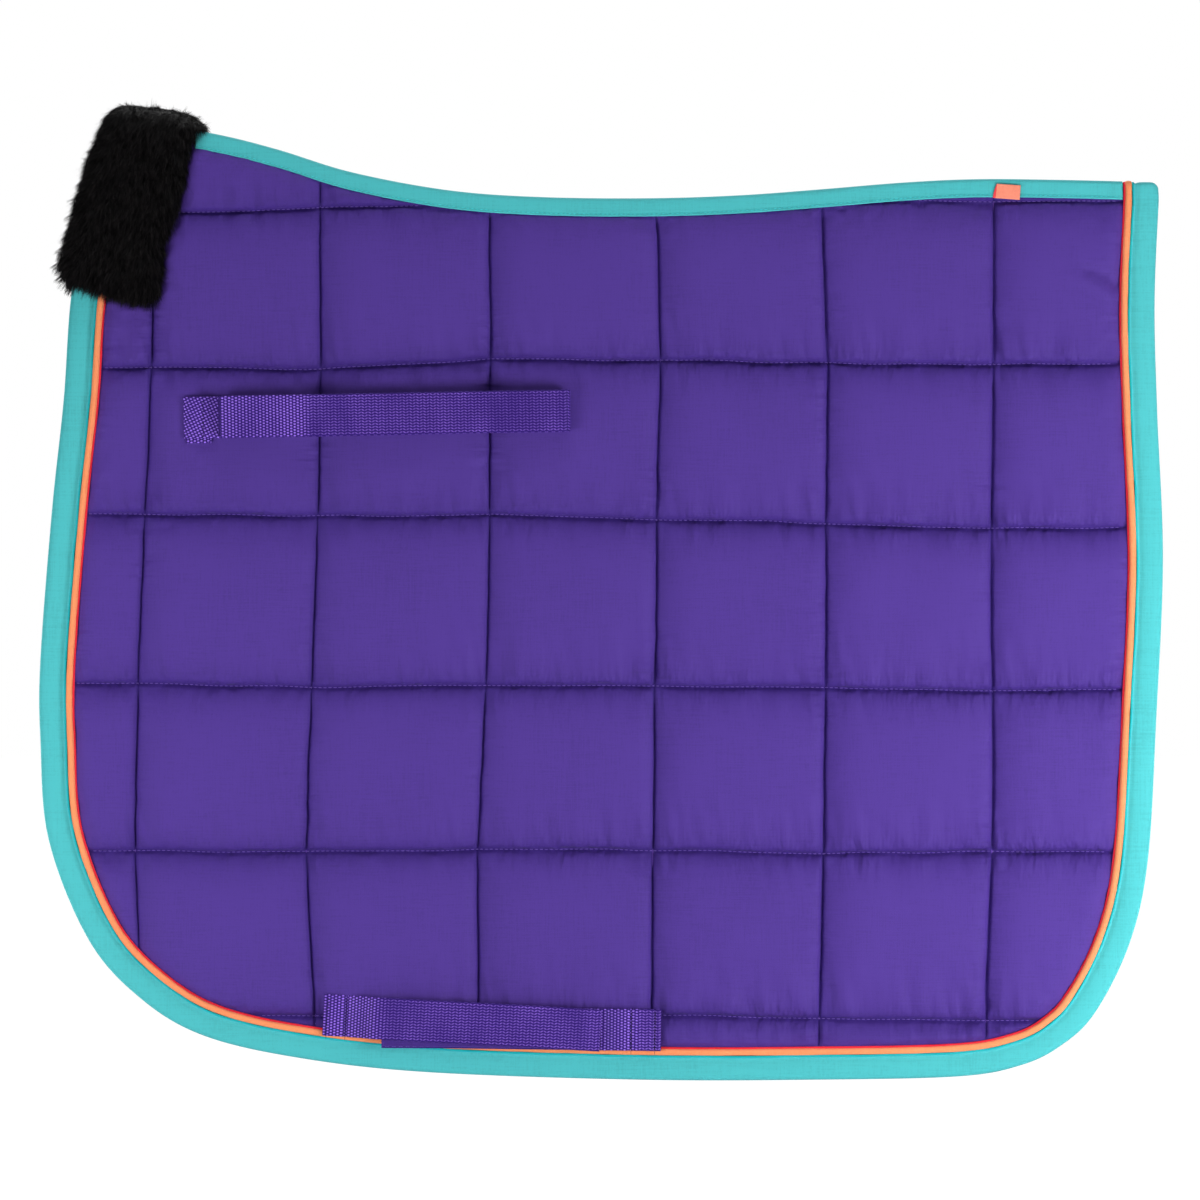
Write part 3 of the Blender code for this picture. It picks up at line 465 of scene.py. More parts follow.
# Colours as linear red, green and blue
# Painted shade colour for the quilting seams' creases and the bands beside them
SEAM_SHADE_PURPLE = (0.011, 0.001, 0.108)
PURPLE = (0.068, 0.0295, 0.246)
PURPLE_LINING = (0.085, 0.036, 0.260)
TEAL = (0.061, 0.442, 0.465)
# Painted shade: the binding's lip in a darker, purer teal
TEAL_LIP_SHADE = (0.004, 0.400, 0.450)
CORAL = (0.960, 0.285, 0.115)
# Painted shade: deep red for the piping's seam flange where it meets the quilted cloth
RED_EDGE_SHADE = (0.900, 0.020, 0.045)
TAG_CORAL = (0.92, 0.265, 0.17)
# Painted shade: darker red for the tag's folded side
TAG_FOLD_SHADE = (0.85, 0.060, 0.075)
HOOK_PURPLE = (0.060, 0.025, 0.230)
QUILTING_THREAD = (0.150, 0.082, 0.400)
BINDING_THREAD = (0.050, 0.620, 0.650)
STRAP_THREAD = (0.012, 0.005, 0.050)
# Painted shade in the webbing's gaps and painted highlight on its beads
WEBBING_GAP_SHADE = (0.024, 0.005, 0.150)
WEBBING_BEAD_HIGHLIGHT = (0.360, 0.185, 0.920)
FUR_ROOT = (0.0004, 0.0003, 0.0008)
# Painted sheen: the paler colour of the strands' upper parts
FUR_TIP_SHEEN = (0.0600, 0.0510, 0.0530)
# Colour, roughness, sheen, thread width in mm, share of slubs, depth of weave in mm, and whether quilted
CLOTHS = {
    "quilted_cotton": (PURPLE, 0.70, 0.03, 0.6, 0.45, 0.15, True),
    "lining_cloth": (PURPLE_LINING, 0.85, 0.05, 0.8, 0.30),
    "teal_binding": (TEAL, 0.68, 0.06, 0.7, 0.45, 0.12),
    # Painted shade colour for the binding's lip
    "teal_lip_shade": (TEAL_LIP_SHADE, 0.68, 0.06, 0.7, 0.45, 0.12),
    "orange_piping": (CORAL, 0.60, 0.05, 0.5, 0.20),
    # Painted shade colour for the piping's seam flange
    "piping_seam_shade": (RED_EDGE_SHADE, 0.70, 0.05, 0.5, 0.20),
    "orange_tag": (TAG_CORAL, 0.55, 0.05, 0.4, 0.25),
    # Painted shade colour for the tag's folded side
    "tag_fold_shade": (TAG_FOLD_SHADE, 0.55, 0.05, 0.4, 0.25),
    "hook_tape": (HOOK_PURPLE, 0.75, 0.05, 0.5, 0.30),
    "quilting_thread": (QUILTING_THREAD, 0.55, 0.05, 0.3, 0.20),
    "binding_thread": (BINDING_THREAD, 0.55, 0.10, 0.3, 0.20),
    "strap_thread": (STRAP_THREAD, 0.60, 0.05, 0.3, 0.20),
}
LOOKS = {name: cloth_look(name, *values) for name, values in CLOTHS.items()}
LOOKS["purple_webbing"] = webbing_look("purple_webbing", WEBBING_GAP_SHADE, WEBBING_BEAD_HIGHLIGHT)
LOOKS["black_fur"] = fur_look("black_fur", FUR_ROOT, FUR_TIP_SHEEN)


# Lines and levels that the pieces share
SPINE_TOP = curve_through(SPINE_TOP_MM, 2.0 * MM)
EDGE_SPACING = 1.6 * MM
PAD_EDGE = curve_through(PAD_EDGE_MM, EDGE_SPACING)


def narrowing(line):
    """How much narrower the binding is along the hem than at the front and rear."""
    return HEM_NARROWER * np.clip((-490 * MM - line[:, 1]) / (20 * MM), 0.0, 1.0)


PIPING_LINE = PAD_EDGE + inward_of(PAD_EDGE) * (PIPING_INSET - narrowing(PAD_EDGE))[:, None]
PANEL_EDGE = PAD_EDGE + inward_of(PAD_EDGE) * PANEL_INSET
FUR_LOOP = curve_through(FUR_EDGE_MM, 1.5 * MM)[:-1]


def spine_level(x):
    return np.interp(x, SPINE_TOP[:, 0], SPINE_TOP[:, 1])


def panel_loop():
    """The closed outline of one half's cloth, as it is cut under its bindings."""
    top = SPINE_TOP - (0.0, PANEL_BELOW_SPINE)
    inside = (top[:, 0] > PANEL_EDGE[0, 0] + 2 * MM) & (top[:, 0] < PANEL_EDGE[-1, 0] - 2 * MM)
    under = PANEL_EDGE[:, 1] < spine_level(PANEL_EDGE[:, 0]) - PANEL_BELOW_SPINE
    return np.vstack([PANEL_EDGE[under], top[inside][::-1]])


PANEL_LOOP = panel_loop()


# Quilting
def graded(first, pitch, low, high):
    """Grid lines from low to high, crowded towards the seams, and which of them are seams."""
    start = math.floor((low - first) / pitch)
    stop = math.ceil((high - first) / pitch)
    t = np.arange(QUILT_LINES) / QUILT_LINES
    t = t - LINE_CROWDING * np.sin(2 * math.pi * t) / (2 * math.pi)
    lines = np.concatenate([first + pitch * (k + t) for k in range(start, stop)])
    seam = np.arange(len(lines)) % QUILT_LINES == 0
    begin = int(np.argmax(lines > low)) // 2 * 2
    end = len(lines) - int(np.argmax(lines[::-1] < high)) + 1
    return lines[begin:end], seam[begin:end]


def warped(us, vs):
    """Moves the straight grid to the places that the crossings have on the real pad."""
    columns = SEAM_START[0] + SEAM_PITCH[0] * np.arange(COLUMNS)
    rows = SEAM_START[1] + SEAM_PITCH[1] * np.arange(-ROWS_BELOW, 2)
    moved = []
    for table in (SHIFT_X_MM, SHIFT_Z_MM):
        by_row = np.array([np.interp(us, columns, row) for row in table]) * MM
        moved.append(np.array([np.interp(vs, rows, column) for column in by_row.T]))
    u, v = np.meshgrid(us, vs, indexing="ij")
    half_x = SEAM_PITCH[0] / 2
    x = u + moved[0] + SEAM_WANDER * noise(v / (38 * MM), u / half_x, 3)
    x = x + SEAM_WIGGLE * noise(v / (11 * MM), u / half_x, 6)
    z = v + moved[1] + SEAM_WANDER * noise(u / (32 * MM), v / (49.0 * MM), 4)
    return x, z


US, SEAM_U = graded(SEAM_START[0], SEAM_PITCH[0], -340 * MM, 342 * MM)
VS, SEAM_V = graded(SEAM_START[1], SEAM_PITCH[1], -533 * MM, 54 * MM)
GRID_X, GRID_Z = warped(US, VS)
FLAT = np.stack([GRID_X.ravel(), GRID_Z.ravel()], axis=1)
SHAPE = GRID_X.shape

RIM_GAP, _ = nearest_on(PIPING_LINE, FLAT)
RIM_IN = within(PIPING_LINE, FLAT)
RIM_GAP = np.where(RIM_IN, RIM_GAP, 0.0).reshape(SHAPE)
FUR_GAP, _ = nearest_on(looped(FUR_LOOP), FLAT)
FUR_GAP = np.where(within(FUR_LOOP, FLAT), 0.0, FUR_GAP).reshape(SHAPE)
SPINE_GAP = np.maximum(spine_level(GRID_X) - SPINE_BINDING_DROP - GRID_Z, 0.0)
EDGE_GAP = np.minimum(np.maximum(RIM_GAP - PIPING_SEAM, 0.0), np.minimum(FUR_GAP, SPINE_GAP))


def from_seam(lines, seam):
    """How far each grid line is past its nearest seam line, below 0 where it is short of it."""
    seams = lines[seam]
    return lines - seams[np.abs(lines[:, None] - seams).argmin(axis=1)]


FROM_SEAM_U = np.broadcast_to(from_seam(US, SEAM_U)[:, None], SHAPE)
FROM_SEAM_V = np.broadcast_to(from_seam(VS, SEAM_V)[None, :], SHAPE)
SEAM_GAP_U, RIGHT_OF_SEAM = np.abs(FROM_SEAM_U), FROM_SEAM_U > 0
SEAM_GAP_V, ABOVE_SEAM = np.abs(FROM_SEAM_V), FROM_SEAM_V > 0

# The sewn ends of the billet strap draw the cloth down in a line
TACK_X = -235.5 * MM
TACK_Z = (-144.0 * MM, -116.5 * MM)
TACK_DEPTH = 1.6 * MM

# How far the panel's rim is pressed down in its binding, the lining's share of the crowns' height,
# and the least gap between two pieces that lie against each other
RIM_PRESSED = 0.7 * MM
LINING_SHARE = 0.38
CLEAR = 0.1 * MM

# The cloth turns down steeply beside each line of sewing, and the rest of the crown is its puff
SHOULDER = 4.9 * MM
STEEP_REACH = 11.0 * MM
GENTLE_REACH_U = 27.0 * MM
GENTLE_REACH_V = 33.0 * MM
SHOULDER_REACH_RIM = 12.0 * MM
FOLD_CREASE = ((292.0, -42.5), (302.0, -46.5), (308.0, -51.0), (312.5, -56.0))
PUFF_PRESSURE = 30.0
PUFF_SLACK = -0.012
PUFF_FRAMES = 20
FULL_HEIGHT_PERCENTILE = 99.8
MOST_SIDEWAYS = 2.0 * MM


def simulated_puff(step):
    """Blows the sewn-down cloth up with a cloth simulation, and gives how far each point moved."""
    x, z = GRID_X[::step, ::step], GRID_Z[::step, ::step]
    sewn = (SEAM_GAP_U == 0) | (SEAM_GAP_V == 0) | (EDGE_GAP <= 0)
    sewn = sewn[::step, ::step].ravel()
    start = 0.15 * MM * noise(x / (9 * MM), z / (9 * MM), 5).ravel()
    points = np.stack([x.ravel(), -np.where(sewn, 0.0, np.abs(start)), z.ravel()], axis=1)
    mesh = bpy.data.meshes.new("puff")
    mesh.from_pydata(points.tolist(), [], grid_quads(*x.shape).tolist())
    cloth = new_object("puff", mesh)
    group = cloth.vertex_groups.new(name="sewn")
    group.add(np.flatnonzero(sewn).tolist(), 1.0, "REPLACE")
    modifier = cloth.modifiers.new("cloth", "CLOTH")
    settings = modifier.settings
    settings.quality = 5
    settings.mass = 0.1
    settings.tension_stiffness = 15
    settings.compression_stiffness = 15
    settings.shear_stiffness = 5
    settings.bending_stiffness = 0.3
    settings.use_pressure = True
    settings.uniform_pressure_force = PUFF_PRESSURE
    settings.shrink_min = PUFF_SLACK
    settings.vertex_group_mass = "sewn"
    settings.effector_weights.gravity = 0.0
    modifier.collision_settings.use_collision = False
    modifier.point_cache.frame_start = 1
    modifier.point_cache.frame_end = PUFF_FRAMES + 5
    for number in range(1, PUFF_FRAMES + 1):
        bpy.context.scene.frame_set(number)
    blown = cloth.evaluated_get(bpy.context.evaluated_depsgraph_get()).data
    after = np.empty(len(points) * 3, np.float32)
    blown.vertices.foreach_get("co", after)
    after = after.reshape(-1, 3)
    bpy.data.objects.remove(cloth)
    bpy.context.scene.frame_set(1)
    height = np.maximum(-after[:, 1], 0.0)
    scale = CROWN / np.percentile(height, FULL_HEIGHT_PERCENTILE)
    height = np.minimum(height * scale, CROWN)
    sideways = np.clip((after - points)[:, [0, 2]], -MOST_SIDEWAYS, MOST_SIDEWAYS) * min(scale, 1.0)
    return sideways[:, 0].reshape(x.shape), height.reshape(x.shape), sideways[:, 1].reshape(x.shape)


def doubled(coarse, size):
    """Cubic interpolation to twice as many grid lines along the first direction."""
    padded = np.concatenate([coarse[:1], coarse, coarse[-1:]])
    middle = (9 * (padded[1:-2] + padded[2:-1]) - padded[:-3] - padded[3:]) / 16
    fine = np.empty((2 * len(coarse) - 1,) + coarse.shape[1:])
    fine[::2] = coarse
    fine[1::2] = middle
    if len(fine) < size:
        fine = np.concatenate([fine, fine[-1:]])
    return fine


def refined(coarse):
    """From every second grid line to every line."""
    return doubled(doubled(coarse, SHAPE[0]).T, SHAPE[1]).T


PUFF = simulated_puff(2)
PUFF_X, PUFF_H, PUFF_Z = (refined(part) for part in PUFF)


def shoulder(gap, reach):
    """A quarter round from 0 at the sewing to 1 at its reach."""
    return np.sqrt(1.0 - (1.0 - np.minimum(gap / reach, 1.0)) ** 2)


def slope(gap, reach):
    """A rise from 0 at the sewing, levelling off to 1 at its reach."""
    return 1.0 - (1.0 - np.minimum(gap / reach, 1.0)) ** 3


def beside(gap, reach):
    """0 on the sewing, 1 at its reach beside it, and fading beyond."""
    return gap / reach * np.exp(1.0 - gap / reach)


def mound(gap, width):
    """1 on a line, falling to 0 beside it."""
    return np.exp(-((gap / width) ** 2))


CREASE_DEPTH_U = 1.3 * MM
CREASE_DEPTH_V = 1.1 * MM
PUCKER_HEIGHT = 1.35 * MM
PUCKER_HEIGHT_UPRIGHT = 0.5 * MM
PUCKER_HEIGHT_RIM = 0.55 * MM
SOFT_HEIGHT = 0.45 * MM
FOLD_DEPTH = 2.8 * MM
FOLD_RIDGE = 1.5 * MM


def puckers():
    """Folds of the cloth square to the level seams, the upright seams and the rim."""
    lean = GRID_X + 0.15 * GRID_Z
    level = noise(lean / (4.5 * MM), GRID_Z / (22 * MM), 11)
    level = level + 0.6 * noise(lean / (9 * MM), GRID_Z / (30 * MM), 12)
    level = PUCKER_HEIGHT * beside(SEAM_GAP_V, np.where(ABOVE_SEAM, 8.0 * MM, 5.0 * MM)) * level
    upright = noise(GRID_Z / (7.0 * MM), GRID_X / (24 * MM), 13)
    upright = PUCKER_HEIGHT_UPRIGHT * beside(SEAM_GAP_U, 5 * MM) * upright
    rim = noise((GRID_Z + GRID_X) / (7.0 * MM), (GRID_Z - GRID_X) / (7.0 * MM), 14)
    return level + upright + PUCKER_HEIGHT_RIM * beside(EDGE_GAP, 6 * MM) * rim


def rear_fold():
    """The fold of slack cloth at the upper rear: a valley with a ridge below it."""
    gap, foot = nearest_on(curve_through(FOLD_CREASE, 1.0 * MM), FLAT)
    valley = -FOLD_DEPTH * mound(gap, 2.4 * MM)
    ridge = FOLD_RIDGE * (FLAT[:, 1] < foot[:, 1]) * mound(gap - 5 * MM, 3 * MM)
    return (valley + ridge).reshape(SHAPE)


def sewn_details():
    """Creases along the seams, puckers beside them and the strap's tacks, as a change of height."""
    crease = -CREASE_DEPTH_U * mound(SEAM_GAP_U, 1.1 * MM) - CREASE_DEPTH_V * mound(SEAM_GAP_V, 1.5 * MM)
    soft = SOFT_HEIGHT * noise(GRID_X / (26 * MM), GRID_Z / (22 * MM), 15)
    soft = soft * np.minimum(EDGE_GAP / (20 * MM), 1.0)
    tack_gap = np.hypot(GRID_X - TACK_X, GRID_Z - np.clip(GRID_Z, *TACK_Z))
    tack = -TACK_DEPTH * mound(tack_gap, 6.0 * MM) * (EDGE_GAP > 0)
    return (crease + puckers() + soft + tack + rear_fold()) * np.minimum(EDGE_GAP / (2 * MM), 1.0)


ROUND_U = np.where(RIGHT_OF_SEAM, slope(SEAM_GAP_U, GENTLE_REACH_U), shoulder(SEAM_GAP_U, STEEP_REACH))
ROUND_V = np.where(ABOVE_SEAM, shoulder(SEAM_GAP_V, STEEP_REACH), slope(SEAM_GAP_V, GENTLE_REACH_V))
ROUND = ROUND_U * ROUND_V * shoulder(EDGE_GAP, SHOULDER_REACH_RIM)
PUFF_H = SHOULDER * ROUND + (1.0 - SHOULDER / CROWN) * PUFF_H
DETAIL = sewn_details()
FRONT = np.stack([GRID_X + PUFF_X, SHELL_SEAM + PUFF_H + DETAIL, GRID_Z + PUFF_Z], axis=-1)
FRONT[..., 1] = np.minimum(FRONT[..., 1], SHELL_SEAM + CROWN + 0.15 * MM)


def clipped_grid(points, shape, keep):
    """Quads of a grid whose corners are all kept, the grid points they use, and their outline in order."""
    quads = grid_quads(*shape)
    quads = quads[keep[quads].all(axis=1)]
    used, quads = np.unique(quads, return_inverse=True)
    quads = quads.reshape(-1, 4)
    starts = quads.ravel()
    ends = np.roll(quads, -1, axis=1).ravel()
    known = set(zip(starts.tolist(), ends.tolist()))
    following = {a: b for a, b in known if (b, a) not in known}
    first = min(following)
    loop = [first]
    while following[loop[-1]] != first:
        loop.append(following[loop[-1]])
    if len(loop) != len(following):
        raise ValueError("the clipped grid has more than one outline")
    return points[used].copy(), quads, np.array(loop), used


def backed(points, quads, loop, back_height, spacing):
    """Closes a face with a coarse back at the heights that back_height gives for (x, z)."""
    rim = points[loop][:, [0, 2]]
    inner, _ = places_over(rim, spacing)
    gap, _ = nearest_on(looped(rim), inner)
    inner = inner[within(rim, inner) & (gap > spacing * 0.5)]
    spots = [Vector(p) for p in rim.tolist() + inner.tolist()]
    ring = list(range(len(rim)))
    edges = list(zip(ring, ring[1:] + ring[:1]))
    places, _, faces, origins, *_ = delaunay_2d_cdt(spots, edges, [ring], 1, 1e-9)
    flat = np.array([tuple(p) for p in places])
    back = np.stack([flat[:, 0], back_height(flat), flat[:, 1]], axis=1)
    start = len(points)
    at_rim = {}
    for index, source in enumerate(origins):
        for old in source:
            at_rim[old] = index + start
    walls = []
    for k in range(len(loop)):
        after = (k + 1) % len(loop)
        walls.append([int(loop[k]), int(loop[after]), at_rim[after], at_rim[k]])
    behind = [[index + start for index in face] for face in faces]
    return np.vstack([points, back]), quads.tolist() + walls + behind


def on_outline(points, loop, outline, height):
    """Moves a face's own outline onto a smooth outline, at one height."""
    _, place = nearest_on(looped(outline), points[loop][:, [0, 2]])
    points[loop] = np.insert(place, 1, height, axis=1)
    return points


def seam_shade_and_puckers():
    """Values for the cloth's material: painted shade at the seams, dark in their creases and in a band
    beside each, and how it puckers both ways.
    """
    # Painted shade: dark lines in the seams' creases
    crease = np.maximum(mound(SEAM_GAP_U, 0.7 * MM), 0.8 * mound(SEAM_GAP_V, 1.1 * MM))
    # Painted shade: a band beside each seam, wider below level seams and right of upright seams
    painted_shade_band = 0.64 * np.exp(-SEAM_GAP_V / np.where(ABOVE_SEAM, 5 * MM, 9 * MM))
    painted_shade_band = painted_shade_band + 0.20 * np.exp(-SEAM_GAP_U / np.where(RIGHT_OF_SEAM, 7 * MM, 3 * MM))
    patchy_x = np.clip(0.8 + 0.6 * noise(GRID_X / (22 * MM), GRID_Z / (40 * MM), 17), 0.1, 1.0)
    patchy_z = np.clip(0.35 + 0.8 * noise(GRID_X / (45 * MM), GRID_Z / (22 * MM), 16), 0.05, 1.0)
    upright_gap = np.minimum(SEAM_GAP_U, EDGE_GAP)
    return {
        # The seam value holds only painted shade
        "seam": np.minimum(np.maximum(crease, painted_shade_band), 1.0),
        "pucker_along_x": patchy_x * beside(SEAM_GAP_V + 1.5 * MM, 4.5 * MM),
        "pucker_along_z": patchy_z * beside(upright_gap + 1.5 * MM, 3.5 * MM),
    }


def make_panels():
    """The quilted cloth with its wadding: one closed padded panel on each side."""
    inside = within(PANEL_LOOP, FLAT)
    points, quads, loop, used = clipped_grid(FRONT.reshape(-1, 3), SHAPE, inside)
    points = on_outline(points, loop, PANEL_LOOP, SHELL_SEAM - RIM_PRESSED)

    def back_height(flat):
        return np.full(len(flat), WADDING_IN + CLEAR)

    points, faces = backed(points, quads, loop, back_height, 7 * MM)
    # The material's marks: painted seam shade, and where the cloth puckers
    values = {}
    for key, mark in seam_shade_and_puckers().items():
        values[key] = np.zeros(len(points))
        values[key][: len(used)] = mark.ravel()[used]
    for name, panel in both_sides("quilted_panel", points, faces, "quilted_cotton", values=values):
        stands_for(panel, name, "shell", "wadding", "strip_shell", "strip_wadding")
        across_fold(panel, name)


LINING_HEIGHT = LINING_IN - LINING_SHARE * (PUFF_H + 0.5 * DETAIL)


def make_linings():
    """The cloth on the horse's side, drawn in along the same seams."""
    inside = within(PANEL_LOOP, FLAT).reshape(SHAPE)[::2, ::2].ravel()
    face = np.stack([GRID_X, LINING_HEIGHT, GRID_Z], axis=-1)[::2, ::2]
    points, quads, loop, _ = clipped_grid(face.reshape(-1, 3), face.shape[:2], inside)
    points = on_outline(points, loop, PANEL_LOOP, LINING_IN)
    back = points + (0.0, LINING_OUT - LINING_IN, 0.0)
    start = len(points)
    ends = np.roll(loop, -1)
    walls = np.stack([loop, ends, ends + start, loop + start], axis=1)
    faces = np.vstack([quads[:, ::-1], quads + start, walls])
    for name, lining in both_sides("lining_cloth", np.vstack([points, back]), faces, "lining_cloth"):
        stands_for(lining, name, "lining", "strip_lining")
        across_fold(lining, name)


# The turn over the spine, which the edge binding, piping and spine binding share
TURN_TOP = 10.8 * MM
TURN_RADIUS = 2.8 * MM
TURN_SHARPEST = 0.6 * MM
TURN_RINGS = 18
TURN_STRAIGHTEN = 20.0 * MM
CORNER_ROUND = 3.2 * MM


def over_spine(height, turn, base, top):
    """Height and level of a point as its edge turns over the spine, from upright at 0 to the middle at 1."""
    radius = np.maximum(height - (BINDING_OUT - TURN_RADIUS), TURN_SHARPEST)
    rise, round_it, across = (np.clip(3 * turn - part, 0.0, 1.0) for part in range(3))
    angle = round_it * math.pi / 2
    above = height - BINDING_OUT
    level = top + np.where(above > 0, 0.3 * above, above)
    out = height - radius + radius * np.cos(angle) - across * (height - radius)
    return out, base + rise * (level - radius - base) + radius * np.sin(angle)


def along_edge(profile, start_z, change=None):
    """Rings of a closed (inset, height) profile, from the front round to the middle of the spine."""
    front = int(np.argmax(PAD_EDGE[:, 1] < start_z))
    line = PAD_EDGE[front:]
    line = line[(line[:, 1] < 0) | (line[:, 0] < 0)]
    inward = inward_of(line)
    rear = line[:, 0] > 0
    inward[rear, 1] *= np.clip(-line[rear, 1] / TURN_STRAIGHTEN, 0.0, 1.0)
    turn = np.linspace(0.0, 1.0, TURN_RINGS + 1)[1:, None]
    count = len(line) + TURN_RINGS
    reach = np.arange(count) * EDGE_SPACING
    inset = np.broadcast_to(profile[:, 0], (count, len(profile))).copy()
    height = np.broadcast_to(profile[:, 1], (count, len(profile))).copy()
    if change:
        inset, height = change(inset, height, reach[:, None])
    near, far = inset[: len(line)], inset[len(line) :]
    near = near - narrowing(line)[:, None] * np.clip(near / NARROWING_REACH, 0.0, 1.0)
    x = line[:, :1] + inward[:, :1] * near
    z = line[:, 1:] + inward[:, 1:] * near
    below = np.stack([x, height[: len(line)], z], axis=-1)
    out, level = over_spine(height[len(line) :], turn, line[-1, 1], TURN_TOP)
    rounding = CORNER_ROUND * turn**2 * np.clip(1.0 - far / BINDING_WIDTH, 0.0, 1.0)
    return np.vstack([below, np.stack([line[-1, 0] - far - rounding, out, level], axis=-1)])


BINDING_PROFILE_MM = (
    (16.0, 7.9), (16.5, 8.5), (16.3, 9.2), (15.7, 9.4), (15.1, 9.0), (14.6, 8.35), (13.8, 8.25),
    (12.6, 8.7), (11.0, 8.95), (8.0, 9.05), (5.0, 8.95), (3.0, 8.7), (1.5, 8.1), (0.5, 7.1), (0.0, 5.8),
    (0.4, 4.5), (1.4, 3.4), (3.0, 2.9), (6.0, 2.75), (10.0, 2.7), (14.0, 2.8), (15.7, 2.8), (16.2, 3.1),
    (16.0, 3.6), (14.0, 3.75), (9.0, 3.75), (4.0, 3.8), (2.2, 4.4), (1.3, 5.7), (2.0, 7.0), (4.0, 7.6),
    (9.0, 7.75), (14.0, 7.8),
)
BINDING_LIP_SIDES = 4
EDGE_START_Z = -42.0 * MM


def binding_change(inset, height, reach):
    """Puckers on the binding's inner side, and a slightly uneven width."""
    inner = np.clip((inset - 7 * MM) / (9 * MM), 0.0, 1.0)
    outer_face = np.clip((height - 6 * MM) / (2 * MM), 0.0, 1.0)
    pucker = noise(reach / (5.5 * MM), inset / (12 * MM), 21)
    pucker = pucker + 0.5 * noise(reach / (2.8 * MM), inset / (9 * MM), 22)
    wave = noise(reach / (45 * MM), inset / (20 * MM), 23)
    height = height + (0.32 * MM * inner * pucker + 0.22 * MM * wave) * outer_face
    inset = inset + 0.25 * MM * inner * noise(reach / (14 * MM), 0 * reach, 24)
    return inset, height


def make_edge_bindings():
    """Teal tape folded round the edge, with a lip against the piping that is coloured a darker, purer teal
    as painted shade.
    """
    profile = np.array(BINDING_PROFILE_MM) * MM
    points, faces = swept(along_edge(profile, EDGE_START_Z, binding_change))
    lip = np.arange(len(faces)) % len(profile) < BINDING_LIP_SIDES
    for name, binding in both_sides("edge_binding", points, faces, "teal_binding"):
        # Painted shade on the lip's faces
        second_look(binding, "teal_lip_shade", lip)
        stands_for(binding, name, "binding", "corner_binding")
        across_fold(binding, name)


# How far along the edge the two ends of the piping overlap
PIPING_OVERLAP = 1125.0 * MM
PIPING_MIDDLE = np.array([PIPING_INSET, PIPING_HEIGHT])
FLANGE_MM = ((19.6, 7.9), (20.9, 7.6), (21.5, 8.2), (21.35, 9.4), (20.0, 10.1))


def piping_change(inset, height, reach):
    """Slight swelling of the cord in its cloth, and the ridge where its ends overlap."""
    swell = 1.0 + 0.05 * noise(reach / (9 * MM), 0 * reach, 31)
    swell = swell + 0.16 * mound(reach - PIPING_OVERLAP, 1.6 * MM)
    return PIPING_INSET + (inset - PIPING_INSET) * swell, PIPING_HEIGHT + (height - PIPING_HEIGHT) * swell


def make_pipings():
    """Coral cord in its cloth, with the shaped edge of its seam on the quilted side coloured deep red as
    painted shade.
    """
    angles = np.linspace(0.0, 2 * math.pi, 20, endpoint=False)
    ring = PIPING_MIDDLE + PIPING_RADIUS * np.stack([np.cos(angles), np.sin(angles)], axis=1)
    cord = swept(along_edge(ring, EDGE_START_Z, piping_change))
    flange = swept(along_edge(np.array(FLANGE_MM) * MM, EDGE_START_Z))
    points, faces = joined([cord, flange])
    in_flange = np.arange(len(faces)) >= len(cord[1])
    for name, piping in both_sides("edge_piping", points, faces, "orange_piping"):
        # Painted shade on the flange's faces
        second_look(piping, "piping_seam_shade", in_flange)
        stands_for(piping, name, "piping", "corner_piping")
        across_fold(piping, name)


SPINE_FRONT_X = -243.0 * MM
SPINE_REAR_X = 314.6 * MM
SPINE_LIP_MM = ((8.0, -11.0), (8.8, -11.1), (9.3, -10.8), (9.25, -10.3), (8.9, -9.9))


def make_spine_binding():
    """Teal tape folded over the spine, plain where the real one is lettered."""
    turns = np.linspace(0.0, 1.0, 16)
    drop = SPINE_BINDING_DROP
    heights = np.full((2, len(turns)), BINDING_OUT) - np.array([[0.0], [TAPE_THICK]])
    outer, inner = [np.stack(over_spine(height, turns, -drop, 0.0), axis=1) for height in heights]
    outer = np.vstack([np.array(SPINE_LIP_MM) * MM, outer[1:]])
    half = np.vstack([inner[1:][::-1], outer])
    mirrored = half[::-1][1:-1] * (-1.0, 1.0)
    section = np.vstack([half, mirrored])
    outside = np.concatenate([np.zeros(len(inner) - 1), np.ones(len(outer) + len(mirrored))])
    xs = np.arange(SPINE_FRONT_X, SPINE_REAR_X, 1.5 * MM)
    low = np.clip(-section[:, 1] / drop, 0.0, 1.0)
    pucker = noise(xs[:, None] / (4.5 * MM), section[None, :, 0] / (9 * MM), 41)
    wave = noise(xs[:, None] / (40 * MM), section[None, :, 0] / (20 * MM), 42)
    swell = 0.12 * MM * (low * pucker + wave) * outside * np.sign(section[:, 0])
    x = np.broadcast_to(xs[:, None], swell.shape)
    rings = np.stack([x, section[:, 0] + swell, spine_level(x) + section[:, 1]], axis=-1)
    points, faces = swept(rings)
    tape = object_from("spine_binding_tape", points, faces, "teal_binding", -1.0)
    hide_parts("spine_binding")
    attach(tape, "root")


# Stitches
def stitch(a, b, radius, lift):
    """One stitch of thread as a bead that arches from a to b."""
    sides, rings = 6, 5
    along = b - a
    length = np.linalg.norm(along)
    along = along / length
    out = np.array([0.0, 1.0, 0.0])
    across = np.cross(along, out)
    across = across / np.linalg.norm(across)
    found = []
    for t in np.linspace(0.0, 1.0, rings):
        width = radius * (0.35 + 0.65 * math.sin(math.pi * t))
        centre = a + along * length * t + out * lift * math.sin(math.pi * t)
        for k in range(sides):
            angle = 2 * math.pi * k / sides
            found.append(centre + (across * math.cos(angle) + out * math.sin(angle)) * width)
    return swept(np.array(found).reshape(rings, sides, 3))


